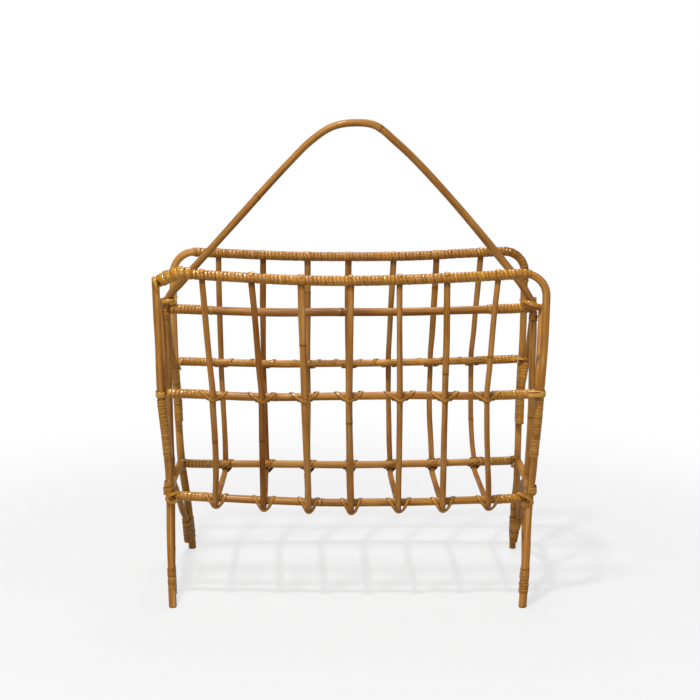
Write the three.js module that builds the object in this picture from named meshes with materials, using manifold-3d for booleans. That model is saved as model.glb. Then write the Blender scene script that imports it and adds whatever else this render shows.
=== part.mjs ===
// Rattan magazine basket: an open crib of bent canes on splayed legs, with a hoop handle.
// Millimetres, Z up. X runs along the basket and its front faces -Y.
// The origin is on the floor, under the middle of the basket.
import * as THREE from "three";
import { mergeVertices } from "three/addons/utils/BufferGeometryUtils.js";
import Module from "manifold-3d";

const wasm = await Module();
wasm.setup();

// Heights of the levels, at cane centre lines
const topHeight = 377.7;
const midHeight = 242;
const bottomHeight = 119;
const handleHeight = 537.7;
const dividerHeight = 320.5;

// Overall widths and depths of the four uprights at each level
const topWidth = 430;
const midWidth = 424;
const bottomWidth = 410;
const footWidth = 399;
const topDepth = 215;
const midDepth = 217.4;
const bottomDepth = 183;
const footDepth = 240.4;

// Cane radii
const frameCane = 4.4;
const handleCane = 4.2;
const railCane = 3.9;
const ribCane = 3.3;
const braceCane = 3.7;
const archCane = 3.5;
const caneSides = 8;

// How far the hand-bent rails dip and bow outwards at mid span
const topSag = 6;
const topBow = 5;
const midSag = 3;
const midBow = 5;
const bottomSag = 4;
const bottomBow = 8;
const sideBow = 3;
const dividerSag = 3;

// Bends
const cornerRadius = 27.5;
const handDrift = 5;

// Clearances
const seatGap = 0.3;
const strapGap = 0.5;
const turnGap = 1.2;
const cornerTurnGap = 3;

// Peel: flat strips shaved from the cane's skin
const peelThickness = 0.7;
const strapThickness = 1.1;
const tieWidth = 2.4;
const turnSteps = 8;
const tieSteps = 6;
const strapArcSteps = 6;

// Handle joint
const poleWidth = 426;
const poleFootWidth = 416;
const jointStrapHeight = 6.4;
const braceTopRise = 4;
const jointHeight = dividerHeight + railCane + seatGap + jointStrapHeight / 2;

// Braces
const braceMeetHeight = 252;
const braceEndHeight = 165;
const braceTurn = THREE.MathUtils.degToRad(18);

// Leg arches
const archEndHeight = 11;
const archLeaveHeight = 42;
const archShoulder = 32;

// Front left corner, where the top rail's tail is lashed to a separate upright
const cutTopHeight = 374;
const tailRun = 24;
const tailDrop = 8;
const cornerStrapWidth = 5;
const cornerStrapDrop = 9;

// Windings
const topWindingTurns = 24;
const dividerWindingTurns = 4;
const midWindingTurns = 4;
const bottomWindingTurns = 3;
const braceWindingTurns = 4;
const footWindingTurns = 3;
const cornerWindingTurns = 3;
const dividerWindingLength = 42;
const braceWindingLength = 68;
const footWindingTop = 42;
const footWindingBottom = 13;
const bottomWindingSetback = 10;

// Rib places along the basket, as shares of an even space between ribs at the top, mid and bottom rails
const ribShares = {
  front: {
    top: [-3.047, -2.031, -1.006, 0.01, 1.025, 2.012, 3.067],
    mid: [-2.91, -1.85, -0.98, 0, 1.05, 2, 2.88],
    bottom: [-2.989, -1.924, -0.941, 0.021, 1.055, 2.048, 3.04],
  },
  back: {
    top: [-2.958, -1.962, -0.966, -0.02, 0.976, 1.952, 2.938],
    mid: [-2.98, -1.98, -0.97, -0.02, 0.88, 1.85, 2.79],
    bottom: [-2.978, -1.975, -0.982, -0.021, 0.951, 1.944, 2.989],
  },
};

// Outward drift of each hand-bent upright, as shares of handDrift, from the foot to the top
const corners = {
  front_left: { side: -1, face: -1, driftShares: [0.28, 0.14, -0.24, -0.56, -0.22, -0.3, -0.16] },
  front_right: { side: 1, face: -1, driftShares: [-0.84, -0.48, -0.34, -0.1, 0.02, 0.52, 0.3] },
  back_left: { side: -1, face: 1, driftShares: [-0.32, -0.3, 0.32, 0.5, 0.42, 0.48, -0.14] },
  back_right: { side: 1, face: 1, driftShares: [0.94, 0.36, 0.24, 0.02, -0.2, -0.26, -0.44] },
};

// Handle centre line above the joints: shares of the half width and of the rise
const handleShares = [
  [-0.99, 0.058], [-0.951, 0.108], [-0.865, 0.187], [-0.682, 0.385], [-0.446, 0.649],
  [-0.3285, 0.781], [-0.213, 0.9], [-0.096, 0.977], [0.02, 1], [0.1355, 0.985],
  [0.252, 0.894], [0.369, 0.781], [0.604, 0.518], [0.842, 0.228], [0.938, 0.114], [0.985, 0.06],
];

// The tail of the front top rail: shares of its run and its drop
const tailShares = [[0.42, 0.09], [0.75, 0.42], [1, 1]];

const mean = (a, b) => (a + b) / 2;

const levels = [
  { height: 0, width: footWidth, depth: footDepth },
  { height: bottomHeight / 2, width: mean(footWidth, bottomWidth), depth: mean(footDepth, bottomDepth) },
  { height: bottomHeight, width: bottomWidth, depth: bottomDepth },
  { height: mean(bottomHeight, midHeight), width: mean(bottomWidth, midWidth), depth: mean(bottomDepth, midDepth) },
  { height: midHeight, width: midWidth, depth: midDepth },
  { height: mean(midHeight, topHeight), width: mean(midWidth, topWidth), depth: mean(midDepth, topDepth) },
  { height: topHeight, width: topWidth, depth: topDepth },
];

const colours = {
  frame: 0xa86b2e,
  handle: 0xa66a2a,
  rail: 0xb5793a,
  rib: 0x9c5f2a,
  peel: 0xc18a48,
  tie: 0xb87f3f,
};

function finish(colour) {
  return new THREE.MeshStandardMaterial({ color: colour, roughness: 0.45, metalness: 0 });
}

// A curve whose stations stay where they are put, so bends get more of them than straights.
class StationCurve extends THREE.CatmullRomCurve3 {
  getUtoTmapping(u) {
    return u;
  }
}

function roundSection(radius, sides) {
  const points = [];
  for (let i = 0; i < sides; i += 1) {
    const angle = ((i + 1 / 2) * 2 * Math.PI) / sides;
    points.push(new THREE.Vector2(radius * Math.cos(angle), radius * Math.sin(angle)));
  }
  return new THREE.Shape(points);
}

function caneGeometry(points, radius) {
  return new THREE.ExtrudeGeometry(roundSection(radius, caneSides), {
    steps: points.length - 1,
    extrudePath: new StationCurve(points),
    bevelEnabled: false,
  });
}

function mergedPositions(geometry) {
  const bare = geometry.clone();
  bare.deleteAttribute("normal");
  bare.deleteAttribute("uv");
  return mergeVertices(bare);
}

function toManifold(geometry) {
  const merged = mergedPositions(geometry);
  return new wasm.Manifold(new wasm.Mesh({
    numProp: 3,
    vertProperties: Float32Array.from(merged.attributes.position.array),
    triVerts: Uint32Array.from(merged.index.array),
  }));
}

function fromManifold(solid) {
  const mesh = solid.getMesh();
  const geometry = new THREE.BufferGeometry();
  geometry.setAttribute("position", new THREE.BufferAttribute(Float32Array.from(mesh.vertProperties), 3));
  geometry.setIndex(new THREE.BufferAttribute(Uint32Array.from(mesh.triVerts), 1));
  geometry.computeVertexNormals();
  return geometry;
}

// Feet are sawn flat where they stand.
function sawnAtFloor(geometry) {
  const reach = footWidth + footDepth;
  const below = new THREE.BoxGeometry(reach, reach, reach);
  below.translate(0, 0, -reach / 2);
  return fromManifold(toManifold(geometry).subtract(toManifold(below)));
}

// A closed body from a row of rings that all have the same number of points. Each four-cornered
// face is split along its shorter diagonal, so the two faces of a twisted strip stay apart.
function ringBody(rings) {
  const sides = rings[0].length;
  const points = rings.flat();
  const positions = points.flatMap((point) => [point.x, point.y, point.z]);
  const faces = [];
  for (let i = 0; i < rings.length - 1; i += 1) {
    for (let j = 0; j < sides; j += 1) {
      const next = (j + 1) % sides;
      const a = i * sides + j;
      const b = i * sides + next;
      const c = b + sides;
      const d = a + sides;
      if (points[a].distanceTo(points[c]) < points[b].distanceTo(points[d])) {
        faces.push(a, b, c, a, c, d);
      } else {
        faces.push(a, b, d, b, c, d);
      }
    }
  }
  const last = (rings.length - 1) * sides;
  for (let j = 1; j < sides - 1; j += 1) {
    faces.push(0, j + 1, j, last, last + j, last + j + 1);
  }
  const geometry = new THREE.BufferGeometry();
  geometry.setAttribute("position", new THREE.Float32BufferAttribute(positions, 3));
  geometry.setIndex(signedVolume(positions, faces) < 0 ? faces.reverse() : faces);
  geometry.computeVertexNormals();
  return geometry;
}

function signedVolume(positions, faces) {
  const corner = (k) => new THREE.Vector3().fromArray(positions, k * 3);
  let sum = 0;
  for (let i = 0; i < faces.length; i += 3) {
    sum += corner(faces[i]).dot(corner(faces[i + 1]).cross(corner(faces[i + 2])));
  }
  return sum;
}

// Four corners of a flat strip that lies on a point, facing out, its width running across.
function stripRing(point, outward, across, width, thickness) {
  const half = across.clone().multiplyScalar(width / 2);
  const rise = outward.clone().multiplyScalar(thickness);
  return [
    point.clone().sub(half),
    point.clone().add(half),
    point.clone().add(half).add(rise),
    point.clone().sub(half).add(rise),
  ];
}

// The least distance between points of one strip that are more than half a turn apart
function leastGap(rings, steps) {
  let least = Infinity;
  for (let i = 0; i < rings.length; i += 1) {
    for (let j = i + steps / 2 + 1; j < rings.length; j += 1) {
      for (const a of rings[i]) {
        for (const b of rings[j]) {
          least = Math.min(least, a.distanceTo(b));
        }
      }
    }
  }
  return least;
}

const group = new THREE.Group();

function addPiece(name, geometry, colour) {
  const mesh = new THREE.Mesh(geometry, finish(colour));
  mesh.name = name;
  group.add(mesh);
  return mesh;
}

// Routes: centre lines of the canes

function uprightRoute(corner) {
  const points = levels.map((level, i) => new THREE.Vector3(
    corner.side * (level.width / 2 + handDrift * corner.driftShares[i]),
    (corner.face * level.depth) / 2,
    level.height,
  ));
  const below = points[0].clone().lerp(points[1], -1 / 6);
  return new THREE.CatmullRomCurve3([below, ...points]);
}

// The place on a route at a given height, for routes that climb all the way
const halvings = 40;

function atHeight(route, height) {
  let low = 0;
  let high = 1;
  for (let i = 0; i < halvings; i += 1) {
    const middle = (low + high) / 2;
    if (route.getPoint(middle).z < height) {
      low = middle;
    } else {
      high = middle;
    }
  }
  return route.getPoint(high);
}

const uprights = {};
for (const [name, corner] of Object.entries(corners)) {
  uprights[name] = { ...corner, name, route: uprightRoute(corner) };
}

const railEndWidth = topWidth - 2 * cornerRadius;
const rails = {
  top: { height: topHeight, sag: topSag, bow: topBow, depth: topDepth, width: topWidth, span: railEndWidth },
  mid: { height: midHeight, sag: midSag, bow: midBow, depth: midDepth, width: midWidth, span: midWidth },
  bottom: {
    height: bottomHeight,
    sag: bottomSag,
    bow: bottomBow,
    depth: bottomDepth,
    width: bottomWidth,
    span: bottomWidth,
  },
  divider: { height: dividerHeight, sag: dividerSag, bow: 0, depth: 0, width: poleWidth, span: poleWidth },
};

function railPoint(rail, face, x) {
  const dip = 1 - Math.min(1, ((2 * x) / rail.span) ** 2);
  return new THREE.Vector3(x, face * (rail.depth / 2 + rail.bow * dip), rail.height - rail.sag * dip);
}

function railStations(rail, face, from, to, steps) {
  const points = [];
  for (let i = 0; i <= steps; i += 1) {
    points.push(railPoint(rail, face, THREE.MathUtils.lerp(from, to, i / steps)));
  }
  return points;
}

function uprightStations(upright, from, to, steps) {
  const points = [];
  for (let i = 0; i <= steps; i += 1) {
    points.push(atHeight(upright.route, THREE.MathUtils.lerp(from, to, i / steps)));
  }
  return points;
}

// The quarter bend from an upright into its top rail, without its two ends
function cornerStations(upright, steps) {
  const start = atHeight(upright.route, topHeight - cornerRadius);
  const end = railPoint(rails.top, upright.face, start.x - upright.side * cornerRadius);
  const points = [];
  for (let i = 1; i < steps; i += 1) {
    const angle = ((i / steps) * Math.PI) / 2;
    points.push(new THREE.Vector3(
      start.x - upright.side * cornerRadius * (1 - Math.cos(angle)),
      THREE.MathUtils.lerp(start.y, end.y, i / steps),
      THREE.MathUtils.lerp(start.z, end.z, Math.sin(angle)),
    ));
  }
  return points;
}

function railEndAt(upright) {
  return atHeight(upright.route, topHeight - cornerRadius).x - upright.side * cornerRadius;
}

const legSteps = 18;
const cornerSteps = 5;
const railSteps = 8;
const handleSteps = 26;
const belowFloor = bottomHeight / 16;

function legStations(upright) {
  return uprightStations(upright, -belowFloor, topHeight - cornerRadius, legSteps);
}

// Frame hoops

function backFrameHoop() {
  const left = uprights.back_left;
  const right = uprights.back_right;
  const points = [
    ...legStations(left),
    ...cornerStations(left, cornerSteps),
    ...railStations(rails.top, 1, railEndAt(left), railEndAt(right), railSteps),
    ...cornerStations(right, cornerSteps).reverse(),
    ...legStations(right).reverse(),
  ];
  addPiece("back_frame_hoop", sawnAtFloor(caneGeometry(points, frameCane)), colours.frame);
}

function tailStations() {
  const post = atHeight(uprights.front_left.route, cutTopHeight - frameCane);
  const endX = post.x + frameCane + 2 * seatGap + frameCane * Math.SQRT1_2;
  const startX = endX + tailRun;
  const points = [railPoint(rails.top, -1, startX)];
  for (const [along, down] of tailShares) {
    points.push(new THREE.Vector3(
      THREE.MathUtils.lerp(startX, endX, along),
      points[0].y,
      points[0].z - tailDrop * down,
    ));
  }
  return points;
}

function frontFrameHoop() {
  const right = uprights.front_right;
  const tail = tailStations();
  const points = [
    ...legStations(right),
    ...cornerStations(right, cornerSteps),
    ...railStations(rails.top, -1, railEndAt(right), tail[0].x, railSteps),
    ...tail.slice(1),
  ];
  addPiece("front_frame_hoop", sawnAtFloor(caneGeometry(points, frameCane)), colours.frame);
}

function frontLeftUpright() {
  const points = uprightStations(uprights.front_left, -belowFloor, cutTopHeight, legSteps);
  addPiece("front_left_upright", sawnAtFloor(caneGeometry(points, frameCane)), colours.frame);
}

// The handle and its poles are one cane in the middle plane.
function poleX(height) {
  const climb = (height - bottomHeight) / (jointHeight - bottomHeight);
  return THREE.MathUtils.lerp(poleFootWidth, poleWidth, Math.sqrt(Math.max(0, climb))) / 2;
}

function sideRailX(side, y) {
  const ends = [uprights.front_left, uprights.back_left, uprights.front_right, uprights.back_right]
    .filter((upright) => upright.side === side)
    .map((upright) => atHeight(upright.route, bottomHeight).x);
  const along = 1 / 2 + y / bottomDepth;
  const dip = 1 - Math.min(1, ((2 * y) / bottomDepth) ** 2);
  return THREE.MathUtils.lerp(ends[0], ends[1], along) + side * sideBow * dip;
}

function handleHoop() {
  const footHeight = bottomHeight + railCane + seatGap;
  const poleSteps = 4;
  const pole = (side) => {
    const points = [];
    for (let i = 0; i <= poleSteps; i += 1) {
      const height = THREE.MathUtils.lerp(footHeight, jointHeight, i / poleSteps);
      points.push(new THREE.Vector3(side * poleX(height), 0, height));
    }
    return points;
  };
  const rise = handleHeight - jointHeight;
  const bow = new THREE.CatmullRomCurve3(handleShares.map(([across, up]) => new THREE.Vector3(
    (across * poleWidth) / 2,
    0,
    jointHeight + up * rise,
  )));
  const points = [...pole(-1), ...bow.getSpacedPoints(handleSteps), ...pole(1).reverse()];
  addPiece("handle_hoop", caneGeometry(points, handleCane), colours.handle);
}

function dividerRail() {
  const reach = poleX(dividerHeight) - handleCane - seatGap;
  const points = railStations(rails.divider, 0, -reach, reach, railSteps);
  addPiece("divider_rail", caneGeometry(points, railCane), colours.rail);
}

// Long rails of the basket

// Space from an upright's centre to a mid rail's end, past the strap that lies askew between them
const strapOuter = frameCane + strapGap + strapThickness;
const midRailSetback = strapOuter / Math.cos(braceTurn) + railCane * Math.tan(braceTurn) + seatGap;

function uprightX(face, side, height) {
  const name = `${face < 0 ? "front" : "back"}_${side < 0 ? "left" : "right"}`;
  return atHeight(uprights[name].route, height).x;
}

function longRail(name, rail, face, setback) {
  const from = uprightX(face, -1, rail.height) + setback;
  const to = uprightX(face, 1, rail.height) - setback;
  addPiece(name, caneGeometry(railStations(rail, face, from, to, railSteps), railCane), colours.rail);
}

function longRails() {
  const bottomSetback = frameCane + seatGap;
  longRail("front_mid_rail", rails.mid, -1, midRailSetback);
  longRail("back_mid_rail", rails.mid, 1, midRailSetback);
  longRail("front_bottom_rail", rails.bottom, -1, bottomSetback);
  longRail("back_bottom_rail", rails.bottom, 1, bottomSetback);
}

function sideRails() {
  const reach = bottomDepth / 2 - frameCane - 2 * seatGap;
  for (const side of [-1, 1]) {
    const points = [];
    for (let i = 0; i <= railSteps; i += 1) {
      const y = THREE.MathUtils.lerp(-reach, reach, i / railSteps);
      points.push(new THREE.Vector3(sideRailX(side, y), y, bottomHeight));
    }
    const name = side < 0 ? "side_bottom_rail_left" : "side_bottom_rail_right";
    addPiece(name, caneGeometry(points, railCane), colours.rail);
  }
}

// Braces lie against the inner side of their uprights, turned a little towards the basket.
function bracePlace(upright, height) {
  const here = atHeight(upright.route, height);
  const apart = frameCane + braceCane + seatGap + strapGap / 2;
  return here.add(new THREE.Vector3(
    -upright.side * apart * Math.sin(braceTurn),
    -upright.face * apart * Math.cos(braceTurn),
    0,
  ));
}

function braceRoute(upright) {
  const jointY = upright.face * (handleCane + braceCane + seatGap);
  const top = jointHeight + braceTopRise;
  const knee = jointHeight - 2 * braceTopRise;
  const start = (height) => new THREE.Vector3(upright.side * poleX(height), jointY, height);
  const meet = bracePlace(upright, braceMeetHeight);
  const slope = (share) => start(knee).lerp(meet, share);
  return [
    start(top),
    start(jointHeight - braceTopRise),
    slope(1 / 10).lerp(start(knee), 1 / 3),
    slope(1 / 4),
    slope(1 / 2),
    slope(3 / 4),
    slope(9 / 10),
    bracePlace(upright, braceMeetHeight - braceCane),
    bracePlace(upright, braceMeetHeight - 3 * braceCane),
    bracePlace(upright, mean(braceMeetHeight, braceEndHeight)),
    bracePlace(upright, braceEndHeight),
  ];
}

function braces() {
  for (const upright of Object.values(uprights)) {
    addPiece(`brace_${upright.name}`, caneGeometry(braceRoute(upright), braceCane), colours.frame);
  }
}

// Leg arches lie against the inner side of the legs and under the side rails.
function archPlace(upright, height) {
  const here = atHeight(upright.route, height);
  const lean = Math.atan((footDepth - bottomDepth) / 2 / bottomHeight);
  const apart = (frameCane + archCane + seatGap) / Math.cos(lean);
  return here.add(new THREE.Vector3(0, -upright.face * apart, 0));
}

function archHalf(upright) {
  const crown = bottomHeight - railCane - archCane - seatGap;
  const leave = archPlace(upright, archLeaveHeight);
  const shoulderY = upright.face * archShoulder;
  const shoulder = new THREE.Vector3(sideRailX(upright.side, shoulderY), shoulderY, crown - archCane);
  return [
    archPlace(upright, archEndHeight),
    archPlace(upright, mean(archEndHeight, archLeaveHeight)),
    leave,
    leave.clone().lerp(shoulder, 1 / 4),
    leave.clone().lerp(shoulder, 5 / 8),
    shoulder,
    new THREE.Vector3(sideRailX(upright.side, shoulderY / 2), shoulderY / 2, crown),
  ];
}

function legArches() {
  const sides = [
    ["leg_arch_left", uprights.front_left, uprights.back_left],
    ["leg_arch_right", uprights.front_right, uprights.back_right],
  ];
  for (const [name, front, back] of sides) {
    const points = [...archHalf(front), ...archHalf(back).reverse()];
    addPiece(name, caneGeometry(points, archCane), colours.frame);
  }
}

// Ribs hang under the top rails and pass outside the mid rails and under the bottom rails.
const ribOffset = railCane + seatGap + ribCane;
const ribCount = ribShares.front.top.length;
const ribSpaces = ribCount + 1;

function windingInner(core, steps) {
  return (core + seatGap) / Math.cos(Math.PI / steps);
}

const topWindingOuter = windingInner(frameCane, turnSteps) + peelThickness;

function ribX(face, level, index) {
  const shares = ribShares[face < 0 ? "front" : "back"][level];
  return (shares[index] * rails[level].width) / ribSpaces;
}

function ribHalf(face, index) {
  const top = railPoint(rails.top, face, ribX(face, "top", index));
  const mid = railPoint(rails.mid, face, ribX(face, "mid", index));
  const bottom = railPoint(rails.bottom, face, ribX(face, "bottom", index));
  const out = (point, reach, drop) => point.clone().add(new THREE.Vector3(0, face * reach, -drop));
  const start = out(top, 0, topWindingOuter + seatGap);
  const passMid = out(mid, ribOffset, 0);
  const passBottom = out(bottom, ribOffset, -ribCane);
  const points = [
    start,
    start.clone().lerp(passMid, 1 / 2).add(new THREE.Vector3(0, (face * ribCane) / 2, 0)),
    out(mid, ribOffset, -2 * ribCane),
    out(mid, ribOffset, 2 * ribCane),
    passMid.clone().lerp(passBottom, 1 / 2).add(new THREE.Vector3(0, (face * ribCane) / 2, 0)),
    passBottom,
  ];
  const bendSteps = 4;
  for (let i = 0; i <= bendSteps; i += 1) {
    const angle = ((i / bendSteps) * Math.PI) / 2;
    points.push(out(bottom, ribOffset * Math.cos(angle), ribOffset * Math.sin(angle)));
  }
  points.push(out(bottom, -2 * ribOffset, ribOffset));
  return points;
}

function ribs() {
  for (let i = 0; i < ribCount; i += 1) {
    const points = [...ribHalf(-1, i), ...ribHalf(1, i).reverse()];
    addPiece(`rib_${i + 1}`, caneGeometry(points, ribCane), colours.rib);
  }
}

// Windings: one unbroken helical strip of peel round one cane, or round a bundle of two

// placeAt gives the bundle's centre, its direction and the direction from cane to cane.
function windingRings(placeAt, turns, core, spread, gap) {
  const total = turns * turnSteps;
  const start = placeAt(0).centre;
  const end = placeAt(1).centre;
  const width = start.distanceTo(end) / turns - gap;
  const inner = windingInner(core, turnSteps);
  const rings = [];
  for (let i = 0; i <= total; i += 1) {
    const { centre, along, apart } = placeAt(i / total);
    const angle = ((i + 1 / 2) * 2 * Math.PI) / turnSteps;
    const aside = along.clone().cross(apart);
    const outward = apart.clone().multiplyScalar(Math.cos(angle))
      .addScaledVector(aside, Math.sin(angle));
    const point = centre.clone()
      .addScaledVector(apart, Math.sign(Math.cos(angle)) * spread)
      .addScaledVector(outward, inner);
    rings.push(stripRing(point, outward, along, width, peelThickness));
  }
  return rings;
}

function addWinding(name, placeAt, turns, core, spread = 0, gap = turnGap) {
  const rings = windingRings(placeAt, turns, core, spread, gap);
  console.log(`${name}: least gap between its turns ${leastGap(rings, turnSteps).toFixed(2)} mm`);
  addPiece(name, ringBody(rings), colours.peel);
}

// A frame along a line of centres: direction along it, and the given sideways direction squared to it
function placesAlong(centreAt, sideways) {
  const step = 1 / 200;
  return (share) => {
    const centre = centreAt(share);
    const ahead = centreAt(Math.min(1, share + step));
    const behind = centreAt(Math.max(0, share - step));
    const along = ahead.sub(behind).normalize();
    const apart = sideways.clone().addScaledVector(along, -sideways.dot(along)).normalize();
    return { centre, along, apart };
  };
}

const depthwise = new THREE.Vector3(0, 1, 0);

function railWinding(name, rail, face, from, to, turns, core) {
  const centreAt = (share) => railPoint(rail, face, THREE.MathUtils.lerp(from, to, share));
  addWinding(name, placesAlong(centreAt, depthwise), turns, core);
}

// The outermost turn's edge stands half a strip beyond the last centre.
function insetForWidth(length, turns) {
  return (length / turns - turnGap) / 2;
}

function topWindings() {
  const tail = tailStations();
  const inset = insetForWidth(railEndWidth, topWindingTurns);
  const frontFrom = tail[0].x + cornerRadius / 2;
  const frontTo = railEndAt(uprights.front_right) - inset;
  railWinding("front_top_rail_winding", rails.top, -1, frontFrom, frontTo, topWindingTurns, frameCane);
  const backFrom = railEndAt(uprights.back_left) + inset;
  const backTo = railEndAt(uprights.back_right) - inset;
  railWinding("back_top_rail_winding", rails.top, 1, backFrom, backTo, topWindingTurns, frameCane);
}

function endWinding(name, rail, face, side, outer, inner, turns) {
  const inset = insetForWidth(Math.abs(outer - inner), turns + 1);
  railWinding(name, rail, face, outer - side * inset, inner + side * inset, turns, railCane);
}

function railEndWindings() {
  const tieReach = tieHalfSpan + tieWidth / 2 + seatGap;
  for (const upright of Object.values(uprights)) {
    const { side, face, name } = upright;
    const index = side < 0 ? 0 : ribCount - 1;
    const midOuter = uprightX(face, side, midHeight) - side * (midRailSetback + seatGap);
    const midInner = ribX(face, "mid", index) + side * tieReach;
    endWinding(`mid_rail_winding_${name}`, rails.mid, face, side, midOuter, midInner, midWindingTurns);
    const bottomOuter = uprightX(face, side, bottomHeight) - side * (frameCane + bottomWindingSetback);
    const bottomInner = ribX(face, "bottom", index) + side * tieReach;
    endWinding(`bottom_rail_winding_${name}`, rails.bottom, face, side, bottomOuter, bottomInner,
      bottomWindingTurns);
  }
}

function dividerWindings() {
  for (const side of [-1, 1]) {
    const outer = side * (poleX(dividerHeight) - handleCane - 4 * seatGap);
    const inner = outer - side * dividerWindingLength;
    const name = side < 0 ? "divider_winding_left" : "divider_winding_right";
    endWinding(name, rails.divider, 0, side, outer, inner, dividerWindingTurns);
  }
}

// Windings round two canes that lie side by side
function pairWinding(name, upright, place, from, to, turns) {
  const centreAt = (share) => {
    const height = THREE.MathUtils.lerp(from, to, share);
    return atHeight(upright.route, height).lerp(place(upright, height), 1 / 2);
  };
  const height = mean(from, to);
  const apart = place(upright, height).sub(atHeight(upright.route, height));
  addWinding(name, placesAlong(centreAt, apart.clone().normalize()), turns, frameCane, apart.length() / 2);
}

function braceWindings() {
  const top = midHeight - railCane - 2 * turnGap;
  const inset = insetForWidth(braceWindingLength, braceWindingTurns + 1);
  for (const upright of Object.values(uprights)) {
    pairWinding(`brace_winding_${upright.name}`, upright, bracePlace, top - inset,
      top - braceWindingLength + inset, braceWindingTurns);
  }
}

function footWindings() {
  const inset = insetForWidth(footWindingTop - footWindingBottom, footWindingTurns + 1);
  for (const upright of Object.values(uprights)) {
    pairWinding(`foot_winding_${upright.name}`, upright, archPlace, footWindingTop - inset,
      footWindingBottom + inset, footWindingTurns);
  }
}

// Straps: closed bands round a bundle of two canes, square to the first one

function capsule(path, spread, radius) {
  path.absarc(spread, 0, radius, -Math.PI / 2, Math.PI / 2, false);
  path.absarc(-spread, 0, radius, Math.PI / 2, (3 * Math.PI) / 2, false);
  path.closePath();
  return path;
}

function strapGeometry(spread, core, height) {
  const inner = (core + strapGap) / Math.cos(Math.PI / (2 * strapArcSteps));
  const shape = capsule(new THREE.Shape(), spread, inner + strapThickness);
  shape.holes.push(capsule(new THREE.Path(), spread, inner));
  const geometry = new THREE.ExtrudeGeometry(shape, {
    depth: height,
    bevelEnabled: false,
    curveSegments: strapArcSteps,
  });
  geometry.translate(0, 0, -height / 2);
  return geometry;
}

function uprightDirection(upright, height) {
  const above = atHeight(upright.route, height + railCane);
  return above.sub(atHeight(upright.route, height - railCane)).normalize();
}

function midStraps() {
  for (const upright of Object.values(uprights)) {
    const here = atHeight(upright.route, midHeight);
    const brace = bracePlace(upright, midHeight);
    const spread = here.distanceTo(brace) / 2;
    const strap = addPiece(
      `mid_strap_${upright.name}`,
      strapGeometry(spread, frameCane, 2 * railCane),
      colours.peel,
    );
    const up = uprightDirection(upright, midHeight);
    const aside = up.clone().cross(brace.clone().sub(here)).normalize();
    strap.position.copy(here.clone().lerp(brace, 1 / 2));
    const basis = new THREE.Matrix4().makeBasis(aside.clone().cross(up), aside, up);
    strap.quaternion.setFromRotationMatrix(basis);
  }
}

function jointStraps() {
  const spread = handleCane + braceCane + seatGap;
  for (const side of [-1, 1]) {
    const strap = addPiece(
      side < 0 ? "handle_strap_left" : "handle_strap_right",
      strapGeometry(spread, handleCane, jointStrapHeight),
      colours.peel,
    );
    strap.position.set(side * poleX(jointHeight), 0, jointHeight);
    strap.rotation.z = Math.PI / 2;
  }
}

// The front left corner: a winding round the rail's tail, and a strap over the upright's cut end
function cornerLashing() {
  const tail = tailStations();
  const ahead = railPoint(rails.top, -1, tail[0].x + cornerRadius / 4);
  const route = new THREE.CatmullRomCurve3([ahead, ...tail]);
  const centreAt = (share) => route.getPointAt(share * (1 - 1 / 5));
  addWinding("corner_winding_front_left", placesAlong(centreAt, depthwise), cornerWindingTurns, frameCane, 0,
    cornerTurnGap);

  const post = atHeight(uprights.front_left.route, cutTopHeight);
  const below = atHeight(uprights.front_left.route, cutTopHeight - cornerStrapDrop);
  const up = post.clone().sub(below).normalize();
  const across = depthwise.clone().cross(up).normalize();
  const over = up.clone().cross(across);
  const inner = frameCane + seatGap;
  const rings = [
    [-1, 0, -cornerStrapDrop],
    [-1, 0, -frameCane / 2],
    [-Math.SQRT1_2, Math.SQRT1_2, seatGap],
    [0, 1, seatGap],
    [Math.SQRT1_2, Math.SQRT1_2, seatGap],
    [1, 0, -frameCane / 2],
    [1, 0, -cornerStrapDrop],
  ].map(([outY, outZ, rise]) => {
    const outward = over.clone().multiplyScalar(outY).addScaledVector(up, outZ).normalize();
    const reach = inner * Math.sign(outY) * (outZ > 0 ? 1 - seatGap / inner : 1);
    const point = post.clone().addScaledVector(over, reach).addScaledVector(up, rise);
    return stripRing(point, outward, across, cornerStrapWidth, strapThickness);
  });
  addPiece("corner_strap_front_left", ringBody(rings), colours.peel);
}

// Lashings: one running strip along each rail. At each rib it comes over the rail, crosses the
// rib's front and goes back over the rail, and between the ribs it runs behind the rail.
const tieHalfSpan = ribCane + tieWidth;

// Half of one crossing, left of the rib, about the rail's centre with Y pointing out of the basket
function crossingHalf(corner) {
  const around = windingInner(railCane + seatGap, tieSteps);
  const half = [];
  for (const degrees of [150, 90, 30]) {
    const angle = THREE.MathUtils.degToRad(degrees);
    const outward = new THREE.Vector3(0, Math.cos(angle), Math.sin(angle));
    half.push({ at: outward.clone().multiplyScalar(around).setX(-tieHalfSpan), outward });
  }
  const ribAround = windingInner(ribCane, tieSteps);
  const middle = corner(ribAround * Math.sin(Math.PI / tieSteps), 3 / 5);
  const shoulder = {
    at: middle.at.clone().setX(-ribCane - seatGap),
    outward: middle.outward.clone().setX(-Math.sqrt(3)).normalize(),
  };
  const off = half[half.length - 1];
  half.push({
    at: off.at.clone().lerp(shoulder.at, 1 / 2),
    outward: off.outward.clone().lerp(shoulder.outward, 1 / 2),
  });
  half.push(shoulder);
  return half;
}

function crossing(corner) {
  const half = crossingHalf(corner);
  const mirrored = half.map(({ at, outward }) => ({
    at: at.clone().setX(-at.x),
    outward: outward.clone().setX(-outward.x),
  })).reverse();
  return [...half, corner(windingInner(ribCane, tieSteps), 1), ...mirrored];
}

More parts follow.
